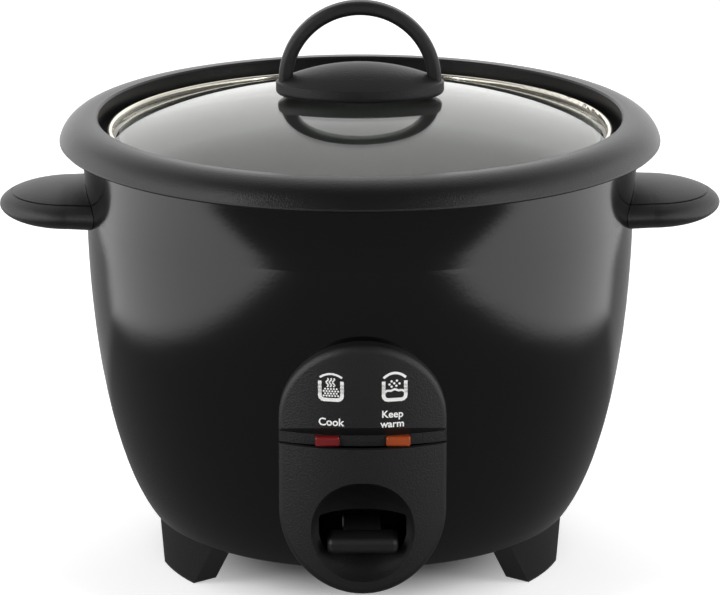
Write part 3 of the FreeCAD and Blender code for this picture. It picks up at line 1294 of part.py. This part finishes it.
def main():
    os.makedirs("parts", exist_ok=True)
    export("outer_shell", outer_shell())
    export("collar_ring", collar_ring())
    up = V(0, 0, 1)
    depth = COLLAR_SCREW_DEPTH
    export("collar_screws", *[screw(s, up, COLLAR_SCREW_R, depth) for s in collar_screw_seats()])
    export("inner_liner", inner_liner())
    export("liner_screws", *[screw(s, up, COLLAR_SCREW_R, depth) for s in liner_screw_seats()])
    export("band_heater", band_heater())
    export("base_plate", base_plate())
    front_right = foot()
    front_left = mirrored(front_right)
    export("foot_front_right", front_right)
    export("foot_front_left", front_left)
    export("foot_rear_right", front_right.mirror(V(0, 0, 0), V(0, 1, 0)))
    export("foot_rear_left", front_left.mirror(V(0, 0, 0), V(0, 1, 0)))
    export("foot_screws", *foot_screws())
    right_handle = handle()
    export("handle_right", right_handle)
    export("handle_left", mirrored(right_handle))
    handle_screws = [screw(s, V(side, 0, 0), HANDLE_SCREW_R, HANDLE_SCREW_DEPTH)
                     for side in (-1, 1) for s in handle_screw_seats(side)]
    export("handle_screws", *handle_screws)
    export("upper_panel", upper_panel())
    export("lower_panel", lower_panel())
    export("panel_screws", *panel_screws())
    export("cook_lens", lens(-1))
    export("warm_lens", lens(1))
    export("lamps", lamp(-1), lamp(1))
    export("lamp_holder", lamp_holder())
    export("heating_plate", heating_plate())
    export("heating_element", heating_element())
    export("heater_terminals", terminal(-1), terminal(1))
    export("heater_posts", *[heater_post(p) for p in post_places(BASE_TOP_Z)])
    export("heater_screws", *heater_screws())
    export("thermal_fuse", thermal_fuse())
    export("fuse_clip", fuse_clip())
    export("sensor_cap", sensor_cap())
    export("ferrite_disc", ferrite_disc())
    export("magnet", magnet())
    export("magnet_rod", magnet_rod())
    export("sensor_housing", sensor_housing())
    export("housing_screws", *[screw(s, up, HOUSING_SCREW_R, HEATER_T / 2) for s in housing_screw_seats()])
    export("sensor_spring", sensor_spring())
    export("lever_arm", lever_arm())
    export("lever_key", lever_key())
    export("pivot_bracket", pivot_bracket())
    export("pivot_pin", pivot_pin())
    export("cook_switch", cook_switch())
    export("switch_plunger", switch_plunger())
    export("inner_pot", inner_pot())
    export("lid_rim", lid_rim())
    export("lid_glass", lid_glass())
    export("knob_washers", washer(GLASS_TOP_Z), washer(GLASS_UNDER_Z - WASHER_T))
    export("lid_knob", lid_knob())
    export("knob_screw", knob_screw())
    export("vent_grommet", vent_grommet())
    export("power_inlet", power_inlet())
    export("inlet_pins", *[blade_box(i, 0) for i in range(3)])
    export("inlet_screws", *inlet_screws())
    export("lead_live", lead_live())
    export("lead_switch", lead_switch())
    export("lead_neutral", lead_neutral())
    export("lead_fuse", lead_fuse())
    export("lead_earth", lead_earth())


main()
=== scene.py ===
import json
import math

import bmesh
import bpy
from mathutils import Matrix, Vector


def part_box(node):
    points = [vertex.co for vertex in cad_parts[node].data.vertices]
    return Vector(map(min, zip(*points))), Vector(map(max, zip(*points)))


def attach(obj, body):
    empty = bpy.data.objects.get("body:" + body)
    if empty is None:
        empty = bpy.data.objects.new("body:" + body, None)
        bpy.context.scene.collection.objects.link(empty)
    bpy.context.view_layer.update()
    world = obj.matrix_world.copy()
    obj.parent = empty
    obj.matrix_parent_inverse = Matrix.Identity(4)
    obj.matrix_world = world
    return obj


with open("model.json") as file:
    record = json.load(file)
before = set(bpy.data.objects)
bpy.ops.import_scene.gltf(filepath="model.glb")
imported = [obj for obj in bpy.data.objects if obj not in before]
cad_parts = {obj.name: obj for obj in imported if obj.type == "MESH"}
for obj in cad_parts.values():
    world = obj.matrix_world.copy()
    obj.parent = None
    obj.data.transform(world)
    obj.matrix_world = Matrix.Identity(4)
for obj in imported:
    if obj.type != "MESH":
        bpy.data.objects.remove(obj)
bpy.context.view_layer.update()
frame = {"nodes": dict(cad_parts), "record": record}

MM = 0.001
WHITE = (1, 1, 1, 1)

# Front of the upper panel: an upright cylinder, its radius and its furthest reach
PANEL_BOW_R = 71.0 * MM
PANEL_REACH = -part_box("upper_panel")[0].y

# Prints on the panel: thickness of the ink, then places and steps in millimetres across and up
PRINT_T = 0.12 * MM
COOK_X = -13.3
WARM_X = 13.2
SIGN_Z = 113.6
WARM_WORD_X = WARM_X - 0.9
INK_STEP = 1.5                 # longest straight piece of a stroke, so that it follows the bow

# Grit of the moulded surfaces in millimetres, drawn coarser than the real one, which is too fine to show
GRIT = 0.7

# Studio floor: distances from the object's axis in metres, and strengths of its glow
FLOOR_REACH = 4.0
# Painted shade: the floor's glow is taken away inside this radius, under the base
FLOOR_PAINTED_SHADE_R = 0.04            # no glow inside this radius, under the base
FLOOR_CLEAR_R = 0.10           # the even glow is full from here on
FLOOR_GLOW = 0.55
HORIZON_START = 1.0            # more glow is added from here on, where less lamplight falls
HORIZON_END = 2.2              # and is full from here on
HORIZON_GLOW = 0.45


def linear(hex_colour):
    """sRGB hex as linear red, green, blue and alpha."""
    parts = [int(hex_colour[i:i + 2], 16) / 255 for i in (1, 3, 5)]
    return [c / 12.92 if c <= 0.04045 else ((c + 0.055) / 1.055) ** 2.4 for c in parts] + [1.0]


def add(tree, kind, settings=None, values=None, links=None):
    """Adds a node, with its settings, its sockets' values and what its sockets are linked to."""
    node = tree.nodes.new(kind)
    for name, value in (settings or {}).items():
        setattr(node, name, value)
    for name, value in (values or {}).items():
        node.inputs[name].default_value = value
    for name, source in (links or {}).items():
        tree.links.new(source, node.inputs[name])
    return node


def new_material(name):
    """An empty node material and its tree."""
    material = bpy.data.materials.new(name)
    material.use_nodes = True
    material.node_tree.nodes.clear()
    return material, material.node_tree


def close_material(tree, shader):
    """Puts a shader on the material's surface."""
    add(tree, "ShaderNodeOutputMaterial", links={"Surface": shader.outputs[0]})


def grain_bump(tree, size, strength, depth):
    """Surface relief of one grain size, as a bump; size and depth are in millimetres."""
    place = add(tree, "ShaderNodeTexCoord")
    grain = add(tree, "ShaderNodeTexNoise", links={"Vector": place.outputs["Object"]}, values={
        "Scale": 1 / (size * MM), "Detail": 2.0, "Roughness": 0.5})
    return add(tree, "ShaderNodeBump", values={"Strength": strength, "Distance": depth * MM},
               links={"Height": grain.outputs["Fac"]})


def baked_black_lacquer():
    """Sprayed and baked enamel on steel: deep black and glossy, with a faint orange peel."""
    material, tree = new_material("baked black lacquer")
    peel = grain_bump(tree, size=1.6, strength=0.12, depth=0.12)
    shader = add(tree, "ShaderNodeBsdfPrincipled", links={"Normal": peel.outputs["Normal"]}, values={
        "Base Color": linear("#080809"), "Roughness": 0.13, "IOR": 1.54})
    close_material(tree, shader)
    return material


def textured_plastic(name, colour, roughness, depth):
    """Polypropylene moulded in a spark-eroded tool: dark and dull, with a fine even grit."""
    material, tree = new_material(name)
    grit = grain_bump(tree, size=GRIT, strength=0.55, depth=depth)
    shader = add(tree, "ShaderNodeBsdfPrincipled", links={"Normal": grit.outputs["Normal"]}, values={
        "Base Color": linear(colour), "Roughness": roughness, "IOR": 1.49})
    close_material(tree, shader)
    return material


def even_finish(name, colour, roughness):
    """Smooth moulding, rubber, ferrite, mica or ink: one colour with an even, soft sheen."""
    material, tree = new_material(name)
    shader = add(tree, "ShaderNodeBsdfPrincipled", values={
        "Base Color": linear(colour), "Roughness": roughness, "IOR": 1.49})
    close_material(tree, shader)
    return material


def bare_metal(name, colour, roughness, grain):
    """Metal as rolling, casting or plating leaves it: its sheen varies a little; grain is in millimetres."""
    material, tree = new_material(name)
    unevenness, smoothest = 0.06, 0.03
    place = add(tree, "ShaderNodeTexCoord")
    cloud = add(tree, "ShaderNodeTexNoise", values={"Scale": 1 / (grain * MM), "Detail": 3.0},
                links={"Vector": place.outputs["Object"]})
    spread = add(tree, "ShaderNodeMapRange", links={"Value": cloud.outputs["Fac"]}, values={
        "To Min": max(roughness - unevenness, smoothest), "To Max": roughness + unevenness})
    shader = add(tree, "ShaderNodeBsdfPrincipled", values={"Base Color": linear(colour), "Metallic": 1.0},
                 links={"Roughness": spread.outputs["Result"]})
    close_material(tree, shader)
    return material


def tempered_glass():
    """Tempered soda-lime glass: clear, with a slight grey cast in its thickness."""
    material, tree = new_material("tempered soda-lime glass")
    shader = add(tree, "ShaderNodeBsdfPrincipled", values={
        "Base Color": linear("#cccfc8"), "Roughness": 0.02, "IOR": 1.52, "Transmission Weight": 1.0})
    close_material(tree, shader)
    return material


def tinted_lens(name, colour):
    """Cast acrylic or lamp glass: coloured right through, with a gloss, and a little light passes it."""
    material, tree = new_material(name)
    shader = add(tree, "ShaderNodeBsdfPrincipled", values={
        "Base Color": linear(colour), "Roughness": 0.22, "IOR": 1.49, "Transmission Weight": 0.15})
    close_material(tree, shader)
    return material


# One finish for each material slot of the record, and the ink of the prints
FINISHES = {
    "black_lacquer": baked_black_lacquer(),
    "satin_plastic": textured_plastic("satin moulded polypropylene", "#0c0c0d", 0.33, 0.25),
    "black_plastic": textured_plastic("matte moulded polypropylene", "#0f0f10", 0.46, 0.30),
    "zinc_steel": bare_metal("zinc-plated steel sheet", "#8b8d8c", 0.55, 9.0),
    "steel_bright": bare_metal("turned bright steel", "#c3c4c6", 0.25, 3.0),
    "rim_steel": bare_metal("polished stainless rim", "#e0dbcd", 0.14, 6.0),
    "pot_aluminium": bare_metal("drawn satin aluminium", "#c9cacc", 0.32, 5.0),
    "cast_aluminium": bare_metal("faced cast aluminium", "#b4b5b7", 0.42, 4.0),
    "element_steel": bare_metal("oxidised element sheath", "#5c5853", 0.55, 4.0),
    "brass": bare_metal("stamped brass", "#c8a860", 0.28, 3.0),
    "ferrite": even_finish("sintered ferrite", "#2a2a2c", 0.6),
    "lid_glass": tempered_glass(),
    "lamp_glass": tinted_lens("neon lamp glass", "#e8e2da"),
    "red_lens": tinted_lens("red cast acrylic", "#7c1a1c"),
    "amber_lens": tinted_lens("amber cast acrylic", "#ac4a1d"),
    "mica_band": even_finish("mica heater band", "#8a765a", 0.6),
    "pale_plastic": even_finish("pale nylon moulding", "#d9d7cf", 0.5),
    "switch_plastic": even_finish("dark phenolic moulding", "#2c2c2e", 0.5),
    "silicone": even_finish("grey silicone rubber", "#9c9b96", 0.6),
    "lead_brown": even_finish("brown lead sleeve", "#5a3018", 0.5),
    "lead_blue": even_finish("blue lead sleeve", "#2450a0", 0.5),
    "lead_green": even_finish("green lead sleeve", "#5a8f3a", 0.5),
}
WHITE_INK = even_finish("white screen-print ink", "#f6f6f4", 0.55)


def finish_cad_nodes():
    """Gives every CAD node the finish of its slot."""
    slots = {part["node"]: part["material_slot"] for part in frame["record"]["subparts"]}
    for node, obj in frame["nodes"].items():
        obj.data.materials.clear()
        obj.data.materials.append(FINISHES[slots[node]])


def panel_front(x):
    """Depth of the upper panel's front at a place across."""
    return -PANEL_REACH + PANEL_BOW_R - math.sqrt(PANEL_BOW_R ** 2 - x * x)


def wrap_print(mesh):
    """Lays a flat print, drawn in X and Z with its ink in Y, onto the bowed panel."""
    for vertex in mesh.vertices:
        vertex.co.y += panel_front(vertex.co.x)


def printed_piece(name, bm):
    """Finishes a print: wraps it, puts it in white ink and lets it ride on the casing."""
    bmesh.ops.remove_doubles(bm, verts=bm.verts, dist=0.0001 * MM)
    bmesh.ops.recalc_face_normals(bm, faces=bm.faces)
    mesh = bpy.data.meshes.new(name)
    bm.to_mesh(mesh)
    bm.free()
    wrap_print(mesh)
    obj = bpy.data.objects.new(name, mesh)
    bpy.context.scene.collection.objects.link(obj)
    mesh.materials.append(WHITE_INK)
    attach(obj, "base")


def ink_dot(bm, place, radius):
    """Round dot of ink at a place given in millimetres across and up."""
    spot = Matrix.Translation((place[0] * MM, 0, place[1] * MM)) @ Matrix.Rotation(math.pi / 2, 4, "X")
    bmesh.ops.create_cone(bm, cap_ends=True, segments=12, radius1=radius * MM, radius2=radius * MM,
                          depth=PRINT_T, matrix=spot)


def ink_bar(bm, start, end, width):
    """Straight stroke of ink that runs a little past two points given in millimetres across and up."""
    first = Vector((start[0], 0, start[1])) * MM
    last = Vector((end[0], 0, end[1])) * MM
    along = last - first
    overrun = 0.6 * width * MM
    turn = Matrix.Rotation(-math.atan2(along.z, along.x), 4, "Y")
    size = Matrix.Diagonal((along.length + overrun, PRINT_T, width * MM, 1))
    bmesh.ops.create_cube(bm, size=1.0, matrix=Matrix.Translation((first + last) / 2) @ turn @ size)


def ink_stroke(bm, points, width):
    """Bent stroke of ink with round joints, in pieces short enough to follow the panel."""
    for start, end in zip(points, points[1:]):
        pieces = math.ceil(math.dist(start, end) / INK_STEP)
        stops = [Vector(start).lerp(Vector(end), i / pieces) for i in range(pieces + 1)]
        for a, b in zip(stops, stops[1:]):
            ink_bar(bm, a, b, width)
    for place in points[1:-1]:
        ink_dot(bm, place, width / 2)


def pot_body(bm, x, z):
    """Thick-walled pot seen from the side, open at the top, drawn about the sign's middle."""
    half, high, low, corner, wall = 4.6, 2.6, -5.0, 1.8, 1.5
    points = [(x - half, z + high)]
    for side, first in ((-1, 180), (1, 270)):
        for step in range(4):
            angle = math.radians(first + 30 * step)
            points.append((x + side * (half - corner) + corner * math.cos(angle),
                           z + low + corner + corner * math.sin(angle)))
    points.append((x + half, z + high))
    ink_stroke(bm, points, wall)


def pot_lid(bm, x, z, rise, width):
    """Curved lid floating over the pot."""
    span, low = 4.4, 4.7
    points = [(x + span * step / 4, z + low + rise * (1 - (step / 4) ** 2)) for step in range(-4, 5)]
    ink_stroke(bm, points, width)


def cook_sign():
    """Pot full of rice with three wisps of steam."""
    bm = bmesh.new()
    x, z = COOK_X, SIGN_Z
    pot_body(bm, x, z)
    pot_lid(bm, x, z, rise=1.5, width=0.85)
    left, low, pitch, row_pitch = -3.0, -3.3, 1.2, 1.0
    for row in range(4):
        odd = row % 2
        for column in range(6 - odd):
            ink_dot(bm, (x + left + pitch * (column + odd / 2), z + low + row_pitch * row), radius=0.42)
    foot, sway, bend, climb = 0.7, 0.45, 1.25, 0.5
    for wisp in (-1.5, -0.2, 1.1):
        points = [(x + wisp + sway * math.sin(step * bend), z + foot + climb * step) for step in range(8)]
        ink_stroke(bm, points, width=0.6)
    printed_piece("cook_sign", bm)


def warm_sign():
    """Pot under its lid with a heap of rice over a rippled level."""
    bm = bmesh.new()
    x, z = WARM_X, SIGN_Z
    pot_body(bm, x, z)
    pot_lid(bm, x, z, rise=1.9, width=1.05)
    height, stride, ripple, bend, droop = -0.7, 0.8, 0.25, 1.6, 0.9
    level = []
    for step in range(-5, 6):
        wave = ripple * math.cos(step * bend) - droop * (step / 5) ** 2
        level.append((x + stride * step, z + height + wave))
    ink_stroke(bm, level, width=0.9)
    for place in ((-1.3, 3.0), (0.9, 3.2), (-2.2, 1.7), (-0.2, 2.1), (2.0, 1.9), (-1.3, 0.7), (0.7, 1.0)):
        ink_dot(bm, (x + place[0], z + place[1]), radius=0.5)
    printed_piece("warm_sign", bm)


def printed_word(name, words, x, z, height):
    """A word in plain letters, centred at a place on the panel given in millimetres."""
    text = bpy.data.curves.new(name, "FONT")
    text.body = words
    text.align_x = "CENTER"
    text.align_y = "CENTER"
    text.size = height * MM
    text.offset = 0.02 * height * MM
    text.extrude = PRINT_T / 2
    text.resolution_u = 4
    flat = bpy.data.objects.new(name + "_flat", text)
    bpy.context.scene.collection.objects.link(flat)
    mesh = bpy.data.meshes.new_from_object(flat.evaluated_get(bpy.context.evaluated_depsgraph_get()))
    bpy.data.objects.remove(flat)
    mesh.transform(Matrix.Translation((x * MM, 0, z * MM)) @ Matrix.Rotation(math.pi / 2, 4, "X"))
    bm = bmesh.new()
    bm.from_mesh(mesh)
    bpy.data.meshes.remove(mesh)
    printed_piece(name, bm)


def stage_plane(name, corners, material):
    """Flat four-cornered sheet of the studio, not part of the object."""
    bm = bmesh.new()
    bm.faces.new([bm.verts.new(corner) for corner in corners])
    mesh = bpy.data.meshes.new(name)
    bm.to_mesh(mesh)
    bm.free()
    mesh.materials.append(material)
    sheet = bpy.data.objects.new(name, mesh)
    bpy.context.scene.collection.objects.link(sheet)
    return sheet


def background_rays(tree):
    """1 for the rays that show the background: to the eye, in a mirror or through glass."""
    path = add(tree, "ShaderNodeLightPath")
    shown = add(tree, "ShaderNodeMath", settings={"operation": "MAXIMUM"}, links={
        0: path.outputs["Is Glossy Ray"], 1: path.outputs["Is Transmission Ray"]})
    return add(tree, "ShaderNodeMath", settings={"operation": "MAXIMUM"}, links={
        0: path.outputs["Is Camera Ray"], 1: shown.outputs[0]})


def floor_glow(tree):
    """Floor glow: taken away under the base as painted shade, even round it and stronger far off."""
    place = add(tree, "ShaderNodeTexCoord")
    from_axis = add(tree, "ShaderNodeVectorMath", settings={"operation": "LENGTH"},
                    links={0: place.outputs["Object"]})
    steps = []
    # The first step is the painted shade under the base, the second the stronger glow far off
    for start, end, strength in ((FLOOR_PAINTED_SHADE_R, FLOOR_CLEAR_R, FLOOR_GLOW),
                                 (HORIZON_START, HORIZON_END, HORIZON_GLOW)):
        step = add(tree, "ShaderNodeMapRange", settings={"interpolation_type": "SMOOTHSTEP"},
                   values={"From Min": start, "From Max": end, "To Max": strength},
                   links={"Value": from_axis.outputs["Value"]})
        steps.append(step)
    total = add(tree, "ShaderNodeMath", settings={"operation": "ADD"}, links={
        0: steps[0].outputs["Result"], 1: steps[1].outputs["Result"]})
    return add(tree, "ShaderNodeEmission", values={"Color": WHITE}, links={"Strength": total.outputs[0]})


def studio_floor():
    """Pale painted floor, white to the eye, apart from the object's real shadow and painted shade under it.
    """
    material, tree = new_material("white studio floor")
    seen = background_rays(tree)
    paint = add(tree, "ShaderNodeBsdfDiffuse", values={"Color": linear("#f4f4f4")})
    glow = floor_glow(tree)
    lit = add(tree, "ShaderNodeAddShader", links={0: paint.outputs[0], 1: glow.outputs[0]})
    shown = add(tree, "ShaderNodeMixShader", links={
        0: seen.outputs[0], 1: paint.outputs[0], 2: lit.outputs[0]})
    close_material(tree, shown)
    far = FLOOR_REACH
    stage_plane("studio_floor", [(-far, -far, 0), (far, -far, 0), (far, far, 0), (-far, far, 0)], material)


def card_material(name, shade, centre, reach, soft):
    """Glowing card that fades out at its rim; reach is its half size in metres along each axis."""
    material, tree = new_material(name)
    place = add(tree, "ShaderNodeTexCoord")
    from_centre = add(tree, "ShaderNodeVectorMath", settings={"operation": "SUBTRACT"},
                      values={1: centre}, links={0: place.outputs["Object"]})
    share = add(tree, "ShaderNodeVectorMath", settings={"operation": "DIVIDE"}, values={1: reach},
                links={0: from_centre.outputs["Vector"]})
    outward = add(tree, "ShaderNodeVectorMath", settings={"operation": "ABSOLUTE"},
                  links={0: share.outputs["Vector"]})
    axes = add(tree, "ShaderNodeSeparateXYZ", links={"Vector": outward.outputs["Vector"]})
    level = add(tree, "ShaderNodeMath", settings={"operation": "MAXIMUM"}, links={
        0: axes.outputs["X"], 1: axes.outputs["Y"]})
    edge = add(tree, "ShaderNodeMath", settings={"operation": "MAXIMUM"}, links={
        0: level.outputs[0], 1: axes.outputs["Z"]})
    fade = add(tree, "ShaderNodeMapRange", settings={"interpolation_type": "SMOOTHSTEP"}, values={
        "From Min": 1 - soft, "From Max": 1.0}, links={"Value": edge.outputs[0]})
    tone = add(tree, "ShaderNodeEmission", values={"Color": WHITE, "Strength": shade})
    clear = add(tree, "ShaderNodeBsdfTransparent")
    shown = add(tree, "ShaderNodeMixShader", links={
        0: fade.outputs["Result"], 1: tone.outputs[0], 2: clear.outputs[0]})
    close_material(tree, shown)
    return material


def reflected_card(name, corner, across, along, shade, soft):
    """Card from one corner along two edges, showing only in the reflections on the object."""
    corner, across, along = Vector(corner), Vector(across), Vector(along)
    corners = [corner, corner + across, corner + across + along, corner + along]
    centre = corner + (across + along) / 2
    reach = [abs(a + b) / 2 or 1.0 for a, b in zip(across, along)]
    card = stage_plane(name, corners, card_material(name.replace("_", " "), shade, centre, reach, soft))
    card.visible_camera = False
    card.visible_diffuse = False
    card.visible_transmission = False
    card.visible_shadow = False


def studio_cards():
    """Grey cards lying before, under and behind the object, and white ones standing beside and behind it,
    seen only in its reflections.
    """
    front_z, rear_z = 0.5 * MM, 0.25 * MM
    reflected_card("front_grey_card", corner=(-0.50, -1.10, front_z), across=(1.0, 0, 0), along=(0, 1.32, 0),
                   shade=0.15, soft=0.10)
    reflected_card("rear_grey_card", corner=(-0.50, 0.10, rear_z), across=(1.0, 0, 0), along=(0, 0.80, 0),
                   shade=0.36, soft=0.10)
    for side, name in ((-1, "left"), (1, "right")):
        reflected_card(name + "_near_card", corner=(side * 0.26, -0.60, 0.04), across=(0, 0.72, 0),
                       along=(0, 0, 0.26), shade=1.6, soft=0.18)
        reflected_card(name + "_far_card", corner=(side * 1.10, -0.80, 0), across=(0, 1.40, 0),
                       along=(0, 0, 1.40), shade=0.85, soft=0.10)
    reflected_card("back_card", corner=(-1.3, 1.4, -1.0), across=(2.6, 0, 0), along=(0, 0, 2.2),
                   shade=1.4, soft=0.30)


def studio_world():
    """White backdrop to the eye, dimmer towards the front in reflections, and an even soft light."""
    world = bpy.data.worlds.new("studio")
    bpy.context.scene.world = world
    world.use_nodes = True
    tree = world.node_tree
    tree.nodes.clear()
    seen = background_rays(tree)
    path = add(tree, "ShaderNodeLightPath")
    way = add(tree, "ShaderNodeTexCoord")
    axes = add(tree, "ShaderNodeSeparateXYZ", links={"Vector": way.outputs["Generated"]})
    depth = add(tree, "ShaderNodeMapRange", settings={"interpolation_type": "SMOOTHSTEP"},
                values={"From Min": -0.20, "From Max": 0.75, "To Min": 0.08, "To Max": 1.0},
                links={"Value": axes.outputs["Y"]})
    shade = add(tree, "ShaderNodeMix", values={2: 1.0}, links={
        0: path.outputs["Is Glossy Ray"], 3: depth.outputs["Result"]})
    backdrop = add(tree, "ShaderNodeBackground", values={"Color": WHITE},
                   links={"Strength": shade.outputs[0]})
    soft = add(tree, "ShaderNodeBackground", values={"Color": WHITE, "Strength": 0.35})
    shown = add(tree, "ShaderNodeMixShader", links={
        0: seen.outputs[0], 1: soft.outputs[0], 2: backdrop.outputs[0]})
    add(tree, "ShaderNodeOutputWorld", links={"Surface": shown.outputs[0]})


def soft_box(name, place, target, size, power):
    """Rectangular soft box at a place, turned towards a target."""
    data = bpy.data.lights.new(name, "AREA")
    data.shape = "RECTANGLE"
    data.size, data.size_y = size
    data.energy = power
    lamp = bpy.data.objects.new(name, data)
    bpy.context.scene.collection.objects.link(lamp)
    lamp.location = place
    lamp.rotation_euler = (Vector(target) - Vector(place)).to_track_quat("-Z", "Y").to_euler()
    return lamp


def studio_lights():
    """Soft boxes at both sides in front, and one overhead that shows in no reflection."""
    middle = (0, 0, 0.12)
    for side, name in ((-1, "left"), (1, "right")):
        soft_box("soft_box_" + name, (side * 1.7, -0.9, 1.0), middle, size=(0.7, 1.3), power=18)
    overhead = soft_box("soft_box_top", (0, 0.6, 2.2), middle, size=(1.6, 0.8), power=12)
    overhead.visible_glossy = False


def photo_camera():
    """Camera at the photograph's viewing angle."""
    data = bpy.data.cameras.new("photo_camera")
    data.sensor_width = 36.0
    data.lens = 171.95
    camera = bpy.data.objects.new("photo_camera", data)
    camera.location = (-0.01427, -1.48693, 0.5466)
    camera.rotation_euler = (math.radians(73.85), 0, math.radians(-0.55))
    bpy.context.scene.collection.objects.link(camera)
    bpy.context.scene.camera = camera


def main():
    """Finishes the CAD nodes, prints the panel, sets up the studio and places the camera."""
    finish_cad_nodes()
    cook_sign()
    warm_sign()
    printed_word("cook_word", "Cook", x=COOK_X, z=98.7, height=4.6)
    printed_word("keep_word", "Keep", x=WARM_WORD_X, z=102.2, height=4.3)
    printed_word("warm_word", "warm", x=WARM_WORD_X, z=98.0, height=4.3)
    studio_floor()
    studio_cards()
    studio_world()
    studio_lights()
    photo_camera()
    bpy.context.scene.view_settings.view_transform = "Standard"


main()
